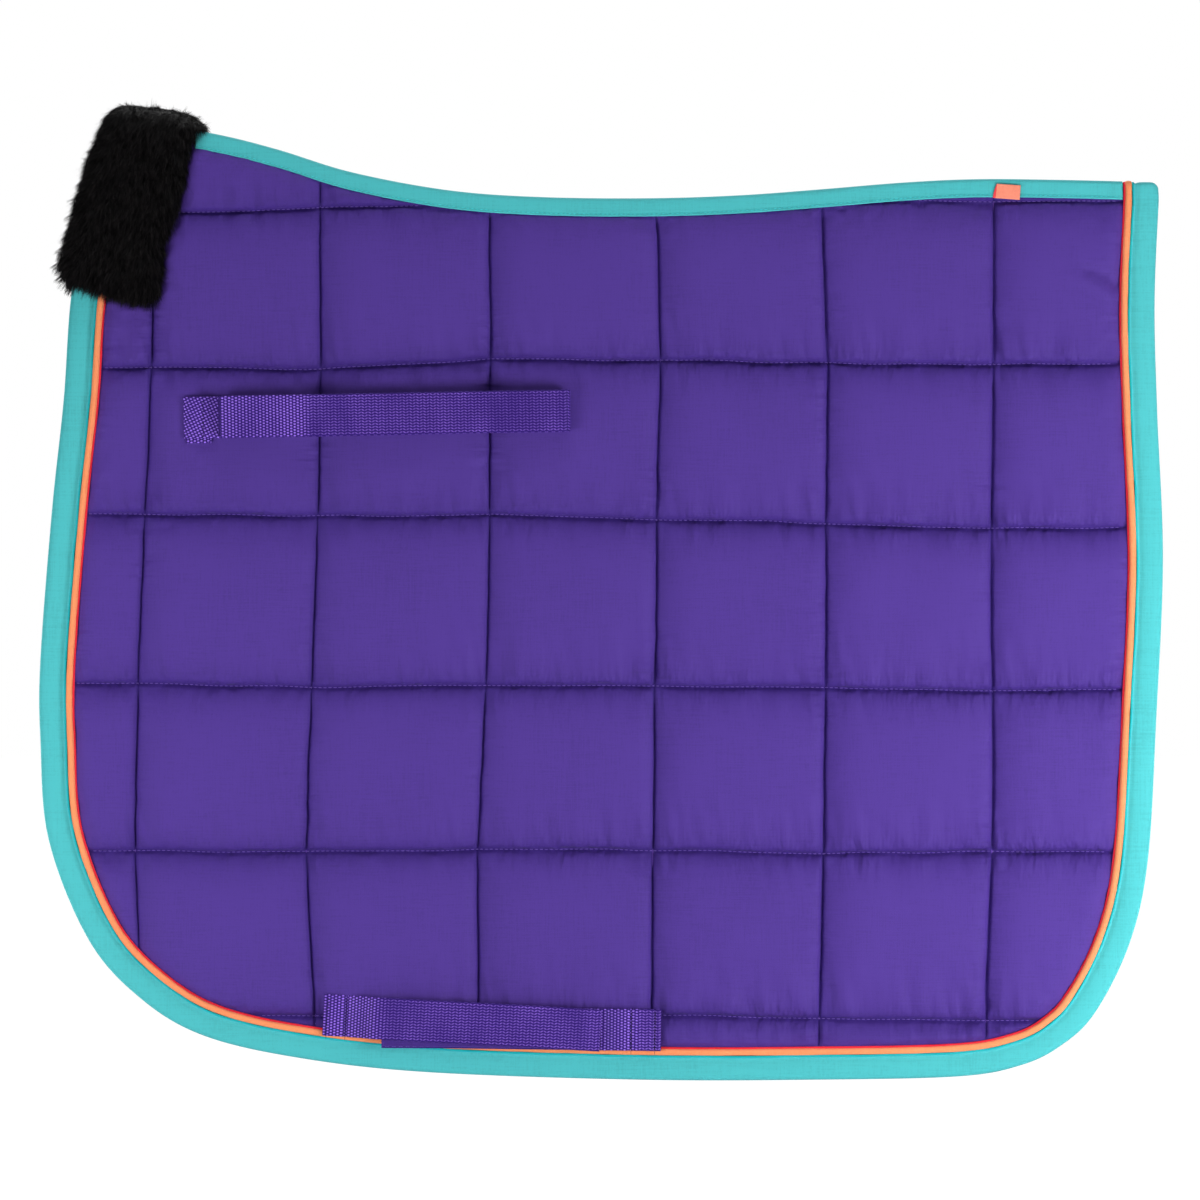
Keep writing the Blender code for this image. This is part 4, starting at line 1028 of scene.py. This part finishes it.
def stitch_row(line, length, gap, radius, lift=0.15 * MM):
    """Stitches one after another along a line of (x, height, z) points."""
    path = evenly(line, (length + gap) / 4)
    found = []
    for k in range(0, len(path) - 4, 4):
        share = 4 * length / (length + gap)
        low = int(share)
        end = path[k + low] + (path[k + low + 1] - path[k + low]) * (share - low)
        found.append(stitch(path[k], end, radius, lift))
    return found


def runs_of(keep):
    """Stretches of consecutive true values, as (start, stop)."""
    edges = np.flatnonzero(np.diff(np.concatenate([[0], keep.astype(int), [0]])))
    return list(zip(edges[::2], edges[1::2]))


def seam_stitches(surface, seams, *sizes):
    """Stitches along the shown stretches of each level or upright seam of a surface over the grid."""
    shown = EDGE_GAP > 0.5 * MM
    if seams is SEAM_V:
        surface, shown = surface.transpose(1, 0, 2), shown.T
    found = []
    for line in np.flatnonzero(seams):
        for start, stop in runs_of(shown[line]):
            if stop - start > 6:
                found += stitch_row(surface[line, start:stop], *sizes)
    return found


def make_quilting_stitches():
    """The visible thread along every seam of the quilting."""
    level = seam_stitches(FRONT + (0.0, 0.22 * MM, 0.0), SEAM_V, 2.0 * MM, 1.0 * MM, 0.23 * MM)
    sunk = FRONT - (0.0, 0.22 * MM, 0.0)
    upright = seam_stitches(sunk, SEAM_U, 2.1 * MM, 0.9 * MM, 0.18 * MM, 0.05 * MM)
    points, faces = joined(level + upright)
    for name, thread in both_sides("quilting_stitches", points, faces, "quilting_thread", "quilted_cotton"):
        across_fold(thread, name)


def make_lining_stitches():
    """The same seams seen from the lining, and the row that closes the binding's inner leg."""
    lining = np.stack([GRID_X, LINING_HEIGHT - CLEAR, GRID_Z], axis=-1)
    sizes = (2.0 * MM, 1.0 * MM, 0.24 * MM, -0.1 * MM)
    found = seam_stitches(lining, SEAM_V, *sizes) + seam_stitches(lining, SEAM_U, *sizes)
    for name, thread in both_sides("lining_stitches", *joined(found), "quilting_thread", "lining_cloth"):
        across_fold(thread, name)
    inner = np.array([(13.2, 2.62), (13.0, 2.62), (13.1, 2.60)]) * MM
    line = along_edge(inner, EDGE_START_Z)[:, 0]
    found = stitch_row(line, 2.4 * MM, 0.9 * MM, 0.24 * MM, -0.1 * MM)
    for name, thread in both_sides("edge_stitches", *joined(found), "binding_thread", "teal_binding"):
        across_fold(thread, name)


def make_spine_stitches():
    """The row of thread along the lower edge of the spine binding."""
    xs = np.arange(SPINE_FRONT_X + 2 * MM, SPINE_REAR_X - MM, 1.5 * MM)
    level = spine_level(xs) - SPINE_BINDING_DROP + 1.2 * MM
    line = np.stack([xs, np.full(len(xs), BINDING_OUT + 0.15 * MM), level], axis=1)
    points, faces = joined(stitch_row(line, 2.0 * MM, 0.8 * MM, 0.22 * MM))
    for _, thread in both_sides("spine_stitches", points, faces, "binding_thread", "teal_binding"):
        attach(thread, "root")


# Webbing straps
WEBBING_WIDTH = 25.0 * MM
WEBBING_THICK = 1.5 * MM
BEAD_COLUMN = 2.05 * MM
BEAD_ROW = 1.72 * MM
BEAD_HEIGHT = 0.30 * MM
WEAVE_ALONG = 0.41 * MM
WEAVE_ACROSS = 0.5 * MM
WEAVE_ROUNDING = 0.7 * MM
PLAIN_SPREAD = 8 * MM
SLANT = 0.42


def beads(along, across, plain, slant):
    """The weave, 0 in the gaps to 1 on a bead. Every second column is half a bead lower.
    Beads are round where plain is 1 and run together in a zigzag where it is 0."""
    column = (along + slant * across) / BEAD_COLUMN
    i = np.floor(column)
    a = column - i - 0.5
    lean = np.where(i % 2 == 0, 0.5, -0.5) * (1.0 - plain)
    row = across / BEAD_ROW + 0.5 * (i % 2) * plain + lean * a
    b = row - np.floor(row) - 0.5
    gap = 1.5 + 0.7 * plain
    return np.clip(1.0 - (gap * a) ** 2, 0.0, 1.0) * np.cos(math.pi * b) ** 2


def turned(points, hinge, tilt):
    """Points given from a strap's hinge, turned about it in the side view."""
    c, s = math.cos(tilt), math.sin(tilt)
    x, z = points[..., 0], points[..., 2]
    return np.stack([hinge[0] + x * c + z * s, points[..., 1], hinge[1] - x * s + z * c], axis=-1)


def webbing(line, place, sway=0.0, seed=0, plain=(0.0, 0.0), slanted=(0.0, 0.0), lower=0.0):
    """A woven strip along a line of (distance from its hinge, height). Its place is the hinge and
    the tilt. The stretches of plain beads and of slanted weave are distances from the hinge too."""
    path = evenly(np.array(line), WEAVE_ALONG)
    along = np.gradient(path, axis=0)
    along = along / np.linalg.norm(along, axis=1, keepdims=True)
    out = np.stack([-along[:, 1], along[:, 0]], axis=1)
    if out[:, 1].mean() < 0:
        out = -out
    reach = np.arange(len(path)) * WEAVE_ALONG
    half = WEBBING_WIDTH / 2
    across = np.linspace(-half, half, int(WEBBING_WIDTH / WEAVE_ACROSS) + 1)
    from_plain = np.maximum(plain[0] - path[:, 0], path[:, 0] - plain[1])
    roundness = np.clip(1.0 - from_plain / PLAIN_SPREAD, 0.0, 1.0)[:, None]
    slant = np.where((path[:, 0] > slanted[0]) & (path[:, 0] < slanted[1]), SLANT, 0.0)
    bead = beads(reach[:, None], across[None, :], roundness, slant[:, None])
    edge = np.clip((half - np.abs(across)) / WEAVE_ROUNDING, 0.0, 1.0)
    thin = np.sqrt(1.0 - (1.0 - edge) ** 2) * 0.8 + 0.2
    thick = (WEBBING_THICK / 2 - BEAD_HEIGHT) * thin + BEAD_HEIGHT * bead * edge
    side_wave = sway * noise(reach / (60 * MM), 0 * reach, 50 + seed)
    z = across[None, :] + side_wave[:, None] - lower
    top, under = [
        np.stack([path[:, :1] + out[:, :1] * rise, path[:, 1:] + out[:, 1:] * rise, z], axis=-1)
        for rise in (thick, -thick)
    ]
    points, faces = swept(turned(np.concatenate([top, under[:, ::-1]], axis=1), *place))
    # For the colour: painted highlight on the beads and painted shade in the gaps, with rounder beads
    # painted lighter
    tone = bead * (0.72 + 0.43 * roundness)
    return points, faces, {"bead": np.concatenate([tone, tone[:, ::-1]], axis=1).ravel()}


# The place of a strap is its hinge in the side view and its tilt
BILLET = ((-234.6 * MM, -130.8 * MM), math.radians(-1.1))
GIRTH_FRONT = ((-151.5 * MM, -489.0 * MM), math.radians(3.2))
GIRTH_REAR = ((18.3 * MM, -497.4 * MM), math.radians(0.7))
BEND_REACH = 3 * MM
BILLET_LOW = 15.05 * MM
BILLET_HIGH = 21.35 * MM
BILLET_TURN = 213.1 * MM
TAB_MIDDLE = 13.05 * MM
GIRTH_REAR_MIDDLE = 17.55 * MM
GIRTH_FRONT_MIDDLE = 22.05 * MM
# Place, distance from the hinge and height of each row of thread across a sewn end
THREAD_ROWS = (
    (BILLET, -3.2 * MM, BILLET_LOW + 1.0 * MM),
    (BILLET, -11.5 * MM, BILLET_LOW + 0.3 * MM),
    (GIRTH_FRONT, -0.7 * MM, TAB_MIDDLE + 0.75 * MM),
    (GIRTH_FRONT, -12.0 * MM, TAB_MIDDLE + 1.75 * MM),
    (GIRTH_REAR, 0.3 * MM, TAB_MIDDLE + 0.75 * MM),
    (GIRTH_REAR, 14.5 * MM, TAB_MIDDLE + 0.9 * MM),
)
THREAD_ROW_HALF = 11.6 * MM


def strap(name, side, part, line, place, nodes, bodies, start, end, **weave):
    """One woven strap in place of its CAD nodes."""
    points, faces, values = webbing(line, place, 0.25 * MM, **weave)
    piece = object_from(f"{name}_{part}", points, faces, "purple_webbing", side, values)
    stands_for(piece, name, *nodes)
    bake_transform(piece)


def make_strap_stitches():
    """Rows of dark thread across the sewn ends, with short loose ends below them."""
    found = []
    half = THREAD_ROW_HALF
    for place, x, height in THREAD_ROWS:
        line = np.array([(x, height, -half), (x + 0.3 * MM, height, half)])
        found += stitch_row(turned(line, *place), 1.7 * MM, 0.8 * MM, 0.24 * MM, 0.2 * MM)
        loose_end = (x + 0.1 * MM, height - 0.2 * MM, -half - 3.4 * MM)
        loose = turned(np.array([(x, height, -half), loose_end]), *place)
        found.append(stitch(*loose, 0.13 * MM, 0.3 * MM))
    points, faces = joined(found)
    for name, thread in both_sides("strap_stitches", points, faces, "strap_thread", "purple_webbing"):
        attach(thread, name + "_flap")


def billet_lines():
    """The lower layer, the layer folded back over it, and the short tab under the sewn end."""
    low, high = BILLET_LOW, BILLET_HIGH
    radius = (high - low) / 2
    lower = [(-14.6 * MM, low - 0.7 * MM), (-11 * MM, low + 0.3 * MM), (-1.5 * MM, low + 0.3 * MM)]
    lower += [(0.5 * MM, low), (6 * MM, low + 0.1 * MM), (BILLET_TURN - 0.5 * MM, low)]
    upper = []
    for angle in np.linspace(-math.pi / 2, math.pi / 2, 14):
        upper.append((BILLET_TURN + radius * math.cos(angle), low + radius + radius * math.sin(angle)))
    upper += [(BILLET_TURN - 1 * MM, high), (12 * MM, high), (7.5 * MM, high - 0.6 * MM)]
    tab = [(-13.5 * MM, low - 1.4 * MM), (-6 * MM, low - 1.9 * MM), (1.5 * MM, low - 1.5 * MM)]
    return lower, upper, tab


def make_billet_straps():
    """The upper strap, folded back over itself at the rear."""
    lower, upper, under = billet_lines()
    x = BILLET[0][0]
    for name, side in SIDES:
        strap(name, side, "billet_lower_webbing", lower, BILLET,
              ("billet_sewn_end", "billet_strap"), ("flap", "billet_strap"),
              (x - BEND_REACH, 0, 0), (x + BEND_REACH, 0, 0),
              seed=1, plain=(-15 * MM, 10 * MM), slanted=(-15 * MM, 7 * MM))
        strap(name, side, "billet_upper_webbing", upper, BILLET,
              ("billet_flap",), ("billet_strap", "billet_flap"),
              (0, side * 16.5 * MM, 0), (0, side * 20.5 * MM, 0), seed=2, plain=(0.0, 55 * MM))
        points, faces, values = webbing(under, BILLET, seed=5, plain=(-15 * MM, 10 * MM), lower=2.6 * MM)
        tab = object_from(name + "_billet_under_tab", points, faces, "purple_webbing", side, values)
        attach(tab, name + "_flap")


def girth_lines():
    """The front and the rear length, each from its sewn end onwards."""
    tab = TAB_MIDDLE
    front = [(-14 * MM, tab), (-13 * MM, tab + 0.9 * MM), (-2.4 * MM, tab + 0.9 * MM)]
    front += [(-1.3 * MM, tab - 0.2 * MM), (0, tab - 0.2 * MM), (1.2 * MM, tab + 1.5 * MM)]
    front += [(9 * MM, 17.5 * MM), (16 * MM, GIRTH_FRONT_MIDDLE - 0.6 * MM)]
    front += [(20 * MM, GIRTH_FRONT_MIDDLE), (152 * MM, GIRTH_FRONT_MIDDLE)]
    rear = [(18 * MM, tab), (17 * MM, tab + 0.9 * MM), (15.6 * MM, tab + 0.9 * MM)]
    rear += [(14.9 * MM, tab), (14.1 * MM, tab), (13 * MM, tab + 0.7 * MM), (1.6 * MM, tab + 0.7 * MM)]
    rear += [(0.8 * MM, tab - 0.2 * MM), (-0.2 * MM, tab - 0.2 * MM), (-1.2 * MM, tab + 1.2 * MM)]
    rear += [(-9 * MM, 15.6 * MM), (-16 * MM, GIRTH_REAR_MIDDLE), (-149 * MM, GIRTH_REAR_MIDDLE)]
    return front, rear


def make_girth_straps():
    """The lower strap: its front length lies over its rear length."""
    front, rear = girth_lines()
    front_x, rear_x = GIRTH_FRONT[0][0], GIRTH_REAR[0][0]
    for name, side in SIDES:
        strap(name, side, "girth_front_webbing", front, GIRTH_FRONT,
              ("girth_front_sewn_end", "girth_front_strap"), ("flap", "girth_front"),
              (front_x - BEND_REACH, 0, 0), (front_x + BEND_REACH, 0, 0),
              seed=3, plain=(-15 * MM, 18 * MM))
        strap(name, side, "girth_rear_webbing", rear, GIRTH_REAR,
              ("girth_rear_sewn_end", "girth_rear_strap"), ("flap", "girth_rear"),
              (rear_x + BEND_REACH, 0, 0), (rear_x - BEND_REACH, 0, 0),
              seed=4, plain=(-20 * MM, 0.0))


# Hook and loop tapes
TAPE_HALF = 11.5 * MM
TAPE_BASE = 0.6 * MM
HOOK_PITCH = 1.3 * MM
HOOK_HALF = 0.14 * MM
HOOK_POINTS = 5
# Piece, CAD node, body, place, reach from the hinge and heights in millimetres, and 1 where the
# small ribbons point away from the pad or -1 where they point towards it
TAPES = (
    ("billet_loops", "billet_loop_tape", "billet_strap", BILLET, (6.3, 126.3), (16.0, 18.1), 1.0),
    ("billet_hooks", "billet_hook_tape", "billet_flap", BILLET, (6.3, 126.3), (18.3, 20.5), -1.0),
    ("girth_loops", "girth_loop_tape", "girth_rear", GIRTH_REAR, (-148.7, -17), (18.4, 19.7), 1.0),
    ("girth_hooks", "girth_hook_tape", "girth_front", GIRTH_FRONT, (81.7, 151.7), (19.9, 21.2), -1.0),
)


def tape_hooks(xs, zs, base, tall, outward):
    """Small ribbons, each bent over at its tip."""
    rng = np.random.default_rng(61)
    grid_x, grid_z = np.meshgrid(xs, zs)
    bend = np.linspace(0.0, math.pi * 0.85, HOOK_POINTS)
    lean = 0.45 * MM * (1 - np.cos(bend))
    rise = tall * np.sin(np.minimum(bend, math.pi * 0.6))
    found = []
    for x, z in zip(grid_x.ravel(), grid_z.ravel()):
        x = x + rng.uniform(-0.3, 0.3) * MM
        z = z + rng.uniform(-0.3, 0.3) * MM
        height = base + outward * (TAPE_BASE / 2 + rise)
        low_edge = np.stack([x + lean, height, np.full(HOOK_POINTS, z - HOOK_HALF)], axis=1)
        ribbon = np.stack([low_edge, low_edge + (0.0, 0.0, 2 * HOOK_HALF)], axis=1).reshape(-1, 3)
        found.append((ribbon, grid_quads(HOOK_POINTS, 2).tolist()))
    return found


def tape_piece(name, side, part, node, body, place, reach, heights, outward):
    """A tape with its woven base and a field of small hooks or loops on one face."""
    start, stop = [value * MM for value in reach]
    low, high = [value * MM for value in heights]
    half, thick = TAPE_HALF, TAPE_BASE / 2
    base = low + thick if outward > 0 else high - thick
    xs = np.arange(start, stop, 1.2 * MM)
    upper = [(-half, 0.0), (-half + thick, thick), (0.0, thick), (half - thick, thick)]
    section = np.array(upper + [(-across, -height) for across, height in upper])
    x = np.broadcast_to(xs[:, None], (len(xs), len(section)))
    height = np.broadcast_to(base + section[:, 1], x.shape)
    strip = swept(np.stack([x, height, np.broadcast_to(section[:, 0], x.shape)], axis=-1))
    hook_xs = np.arange(start + MM, stop - MM, HOOK_PITCH)
    hook_zs = np.arange(-half + MM, half, HOOK_PITCH)
    tall = high - low - TAPE_BASE - 0.1 * MM
    points, faces = joined([strip] + tape_hooks(hook_xs, hook_zs, base, tall, outward))
    points = turned(points, *place)
    piece = object_from(f"{name}_{part}", points, faces, "hook_tape", side, closed=False)
    stands_for(piece, name, node)
    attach(piece, f"{name}_{body}")


def make_tapes():
    for name, side in SIDES:
        for tape in TAPES:
            tape_piece(name, side, *tape)


# The bare tag on the spine binding
TAG_CENTRE = (243.9 * MM, 4.9 * MM)
TAG_SIZE = (16.2 * MM, 8.6 * MM)
TAG_HEIGHTS = (8.95 * MM, 10.15 * MM)
TAG_TILT = math.radians(4.0)


def make_tag():
    """A small folded ribbon, left bare. The folded side at its front end is a slanted face in a darker red,
    which is painted shade.
    """
    half = TAG_SIZE[0] / 2
    low, high = TAG_HEIGHTS
    thick = 0.42 * MM
    middle = (low + high) / 2
    bend = np.linspace(-math.pi / 2, math.pi / 2, 9)
    rings = []
    for share in np.linspace(0.0, 1.0, 13):
        left = -half + 1.7 * MM + 0.4 * MM * share
        bulge = (1.7 - 1.5 * share**2) * MM
        turn = [(left - bulge * math.cos(a), middle + (high - low) / 2 * math.sin(a)) for a in bend]
        outer = [(half, low)] + turn + [(0.0, high + 0.1 * MM), (half, high)]
        inner = [(half, high - thick), (0.0, high - thick + 0.1 * MM), (left + 0.6 * MM, high - thick)]
        inner += [(left + 0.3 * MM, middle), (left + 0.6 * MM, low + thick), (half, low + thick)]
        level = TAG_SIZE[1] * (share - 0.5)
        rings.append([(x, height, level) for x, height in outer + inner])
    points, faces = swept(turned(np.array(rings), TAG_CENTRE, TAG_TILT))
    segment = np.arange(len(faces)) % len(rings[0])
    tag = object_from("bare_tag", points, faces, "orange_tag", -1.0)
    # Painted shade on the folded side's faces
    second_look(tag, "tag_fold_shade", (segment >= 1) & (segment < len(bend)))
    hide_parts("label_tag")
    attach(tag, "root")


# Faux fur
FUR_SKIN_HEIGHT = 18.5 * MM
FUR_ROUNDING = 12.0 * MM
FUR_LENGTH = 6.8 * MM
FUR_STRANDS = 60000
FUR_PIECES = 2
FUR_WIDTH = 0.24 * MM
FUR_COMB = np.array([-0.24, 0.0, -0.80])
FUR_DROOP = 0.35 * np.array([-0.1, -0.25, -0.5])
FUR_HIGHEST = 24.0 * MM
FUR_BACKING = 1.2 * MM
FUR_SUNK = 0.4 * MM
WISP_STRANDS = 14
FUR_RING = looped(FUR_LOOP)
# How far along a strand each pair of its points lies
STRAND_SHARES = (0.0, 0.4, 0.75, 1.0)


def unit(vectors):
    return vectors / np.linalg.norm(vectors, axis=1, keepdims=True)


def on_skin(places, lift=0.0):
    """The points of the skin at places in the side view."""
    return np.stack([places[:, 0], fur_height(places) + lift, places[:, 1]], axis=1)


def fur_foot_height(place):
    """How high the skin meets what lies under it: the pad, its front edge or the middle plane."""
    gap, _ = nearest_on(PAD_EDGE, place)
    on_pad = within(PANEL_LOOP, place) & (gap > 3 * MM)
    low = np.interp(place[:, 1], (-30 * MM, 5 * MM), (4 * MM, 0.2 * MM))
    return np.where(on_pad, SHELL_SEAM + 0.2 * MM, low)


def fur_height(place):
    gap, foot = nearest_on(FUR_RING, place)
    low = fur_foot_height(foot)
    t = np.clip(gap / FUR_ROUNDING, 0.0, 1.0)
    return low + (FUR_SKIN_HEIGHT - low) * np.sqrt(1.0 - (1.0 - t) ** 2)


def make_fur_skin():
    """The dark backing of the fur, rounded over its edges."""
    flat, shape = places_over(FUR_LOOP, 1.5 * MM)
    points, quads, loop, _ = clipped_grid(on_skin(flat), shape, within(FUR_LOOP, flat))
    _, place = nearest_on(FUR_RING, points[loop][:, [0, 2]])
    points = on_outline(points, loop, FUR_LOOP, fur_foot_height(place) + FUR_BACKING)

    def back_height(spots):
        return np.maximum(fur_height(spots) - FUR_BACKING, 0.1 * MM)

    points, faces = backed(points, quads, loop, back_height, 4 * MM)
    values = {"along": np.zeros(len(points))}
    for name, skin in both_sides("fur_backing", points, faces, "black_fur", values=values):
        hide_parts(name + "_fur", "wither_fur")
        across_fold(skin, name)


def strand_roots(rng):
    """Random places on the skin, as many on its steep edge as on its flat top for their area."""
    low, high = FUR_LOOP.min(axis=0), FUR_LOOP.max(axis=0)
    places = rng.uniform(low, high, (FUR_STRANDS * 6, 2))
    places = places[within(FUR_LOOP, places)]
    gap, _ = nearest_on(FUR_RING, places)
    t = np.clip(gap / FUR_ROUNDING, 0.08, 1.0)
    share = np.minimum(1.0 / np.sqrt(1.0 - (1.0 - t) ** 2), 2.6) / 2.6
    return places[rng.uniform(0.0, 1.0, len(places)) < share][:FUR_STRANDS]


def fur_normal(places):
    """Unit vectors square to the skin."""
    step = 0.3 * MM
    slopes = []
    for shift in ((step, 0.0), (0.0, step)):
        slopes.append((fur_height(places + shift) - fur_height(places - shift)) / (2 * step))
    return unit(np.stack([-slopes[0], np.ones(len(places)), -slopes[1]], axis=1))


def wisp_strands(rng):
    """Roots, directions and lengths of the loose tufts at the front edge and its lower corner."""
    front = FUR_LOOP[(FUR_LOOP[:, 0] < -297 * MM) & (FUR_LOOP[:, 1] < 35 * MM)]
    corner = FUR_LOOP[(FUR_LOOP[:, 0] < -306 * MM) & (FUR_LOOP[:, 1] < -26 * MM)]
    spots = np.vstack([rng.choice(front, 36), rng.choice(corner, 26)])
    spots = spots + unit(FUR_LOOP.mean(axis=0) - spots) * rng.uniform(1.0, 3.0, (len(spots), 1)) * MM
    roots, reaches = [], []
    for spot, long in zip(spots, rng.uniform(6.0, 10.5, len(spots)) * MM):
        some = spot + rng.normal(0.0, 0.8 * MM, (WISP_STRANDS, 2))
        normal = fur_normal(spot[None])[0]
        lean = 0.75 * normal * (1.0, 0.35, 1.0) + 0.55 * FUR_COMB + rng.normal(0.0, 0.28, 3)
        tip = on_skin(spot[None])[0] + lean / np.linalg.norm(lean) * long
        root = on_skin(some, -FUR_SUNK)
        roots.append(root)
        reaches.append(tip + rng.normal(0.0, 0.45 * MM, (WISP_STRANDS, 3)) - root)
    reaches = np.vstack(reaches)
    return np.vstack(roots), unit(reaches), np.linalg.norm(reaches, axis=1)


def combed_strands(rng):
    """Roots, directions, lengths and skin normals of the strands that cover the skin."""
    places = strand_roots(rng)
    count = len(places)
    normal = fur_normal(places)
    tuft = noise(places[:, 0] / (2.2 * MM), places[:, 1] / (3.2 * MM), 72)
    tuft_out = noise(places[:, 0] / (2.6 * MM), places[:, 1] / (3.0 * MM), 73)
    comb = FUR_COMB + np.stack([0.38 * tuft, 0.25 * tuft_out, 0.1 * tuft], axis=1)
    direction = unit(0.60 * normal + 0.75 * (comb + rng.normal(0.0, 0.15, (count, 3))))
    guard = np.where(rng.uniform(0.0, 1.0, count) < 0.05, 1.45, 1.0)
    length = FUR_LENGTH * rng.uniform(0.65, 1.1, count) * (1.0 + 0.2 * tuft_out) * guard
    length = length * (1.0 - 0.3 * np.clip(normal[:, 2], 0.0, 1.0))
    return on_skin(places, -FUR_SUNK), direction, length, normal


def make_fur_pile():
    """Tapered strands combed down and forward, leaning together in tufts."""
    rng = np.random.default_rng(71)
    root, direction, length, normal = combed_strands(rng)
    more_root, more_direction, more_length = wisp_strands(rng)
    root = np.vstack([root, more_root])
    direction = np.vstack([direction, more_direction])
    length = np.concatenate([length, more_length])[:, None]
    normal = np.vstack([normal, np.tile((0.0, 1.0, 0.0), (len(more_root), 1))])
    count = len(root)
    spin = unit(np.cross(direction, normal + rng.normal(0.0, 0.5, (count, 3))))
    rows = []
    for t in STRAND_SHARES:
        middle = root + direction * (length * t) + FUR_DROOP * (length * t * t)
        middle[:, 1] = np.clip(middle[:, 1], 0.2 * MM, FUR_HIGHEST)
        half = FUR_WIDTH / 2 * (1.0 - 0.9 * t)
        rows += [middle - spin * half, middle + spin * half]
    points = np.stack(rows, axis=1)
    # Painted sheen: how much paler each strand's upper part is coloured
    sheen_paleness = 0.25 + 1.5 * rng.uniform(0.0, 1.0, count)[:, None] ** 2
    along = np.repeat(STRAND_SHARES, 2)[None, :] * sheen_paleness
    quads = np.array([(0, 1, 3, 2), (2, 3, 5, 4), (4, 5, 7, 6)])[None]
    for first in range(FUR_PIECES):
        some = points[first::FUR_PIECES]
        faces = (np.arange(len(some))[:, None, None] * len(rows) + quads).reshape(-1, 4)
        some = some.reshape(-1, 3)
        more = {"values": {"along": along[first::FUR_PIECES].ravel()}, "closed": False}
        for name, pile in both_sides(f"fur_pile_{first + 1}", some, faces, "black_fur", **more):
            across_fold(pile, name)


# Camera, floor and light
PHOTO_DISTANCE = 4.0
FACE_HEIGHT = 8.0 * MM
VIEW_CENTRE_Z = -240.0 * MM
LAMP_TARGET = Vector((0.0, 0.0, -0.3))
# Name, place, size in metres and watts of each square lamp
LAMPS = (
    ("right_box", (0.78, -0.64, -0.53), 0.40, 10.5),
    ("left_box", (-0.75, -0.6, -0.45), 0.40, 3.9),
    ("right_box_behind", (0.75, 0.6, -0.5), 0.45, 5.0),
    ("left_box_behind", (-0.75, 0.6, -0.5), 0.45, 5.0),
    ("top_box_behind", (0.0, 1.0, 1.2), 0.8, 11.0),
    ("top_box", (0.0, -0.35, 1.2), 0.5, 8.0),
)
AMBIENT = 0.16
FLOOR_Z = -0.62
FLOOR_HALF = 12.0
FLOOR_GREY = (0.85, 0.85, 0.85, 1.0)
WHITE = (1.0, 1.0, 1.0, 1.0)


def make_camera():
    """The photo's view: square to the near side, from far off."""
    data = bpy.data.cameras.new("photo_view")
    data.lens = 200.0
    data.sensor_width = 36.0
    camera = new_object("photo_view", data)
    camera.location = (0.0, -PHOTO_DISTANCE - FACE_HEIGHT, VIEW_CENTRE_Z)
    camera.rotation_euler = (math.pi / 2, 0.0, 0.0)
    bpy.context.scene.camera = camera


def make_lights():
    """Soft lamps that the camera doesn't see."""
    for name, place, size, watts in LAMPS:
        data = bpy.data.lights.new(name, "AREA")
        data.shape = "SQUARE"
        data.size = size
        data.energy = watts
        light = new_object(name, data)
        light.location = place
        aim = LAMP_TARGET - Vector(place)
        light.rotation_euler = aim.to_track_quat("-Z", "Y").to_euler()
        light.visible_camera = False


def seen_white(tree):
    """1 on rays that come straight from the camera."""
    return add_node(tree, "ShaderNodeLightPath").outputs["Is Camera Ray"]


def make_world():
    """Even dim light from all round, and white where the camera sees past the object."""
    world = bpy.data.worlds.new("studio")
    bpy.context.scene.world = world
    world.use_nodes = True
    tree = world.node_tree
    background = tree.nodes["Background"]
    level = calculated(tree, "MULTIPLY_ADD", seen_white(tree), 1.0 - AMBIENT, AMBIENT)
    background.inputs["Color"].default_value = WHITE
    tree.links.new(level, background.inputs["Strength"])


def make_floor():
    """A wide pale sheet that looks white from the camera."""
    corners = [(x * FLOOR_HALF, y * FLOOR_HALF, FLOOR_Z) for x, y in ((-1, -1), (1, -1), (1, 1), (-1, 1))]
    mesh = bpy.data.meshes.new("floor")
    mesh.from_pydata(corners, [], [(0, 1, 2, 3)])
    material, tree, shader = new_look("floor")
    set_inputs(tree, shader, {"Base Color": FLOOR_GREY, "Roughness": 0.9})
    glow = add_node(tree, "ShaderNodeEmission", {"Color": WHITE, "Strength": 1.15})
    share = calculated(tree, "MULTIPLY", seen_white(tree), 0.87)
    mix = add_node(tree, "ShaderNodeMixShader", {0: share, 1: shader.outputs[0], 2: glow.outputs[0]})
    tree.links.new(mix.outputs[0], tree.nodes["Material Output"].inputs["Surface"])
    mesh.materials.append(material)
    new_object("floor", mesh)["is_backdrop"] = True


make_camera()
make_lights()
make_world()
make_floor()
make_panels()
make_linings()
make_edge_bindings()
make_pipings()
make_spine_binding()
make_quilting_stitches()
make_lining_stitches()
make_spine_stitches()
make_billet_straps()
make_girth_straps()
make_strap_stitches()
make_tapes()
make_tag()
make_fur_skin()
make_fur_pile()

bpy.context.scene.view_settings.view_transform = "Standard"
boxes = {"cad": CAD_BOX, "visual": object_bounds()}
{key: [list(corner) for corner in box] for key, box in boxes.items()}
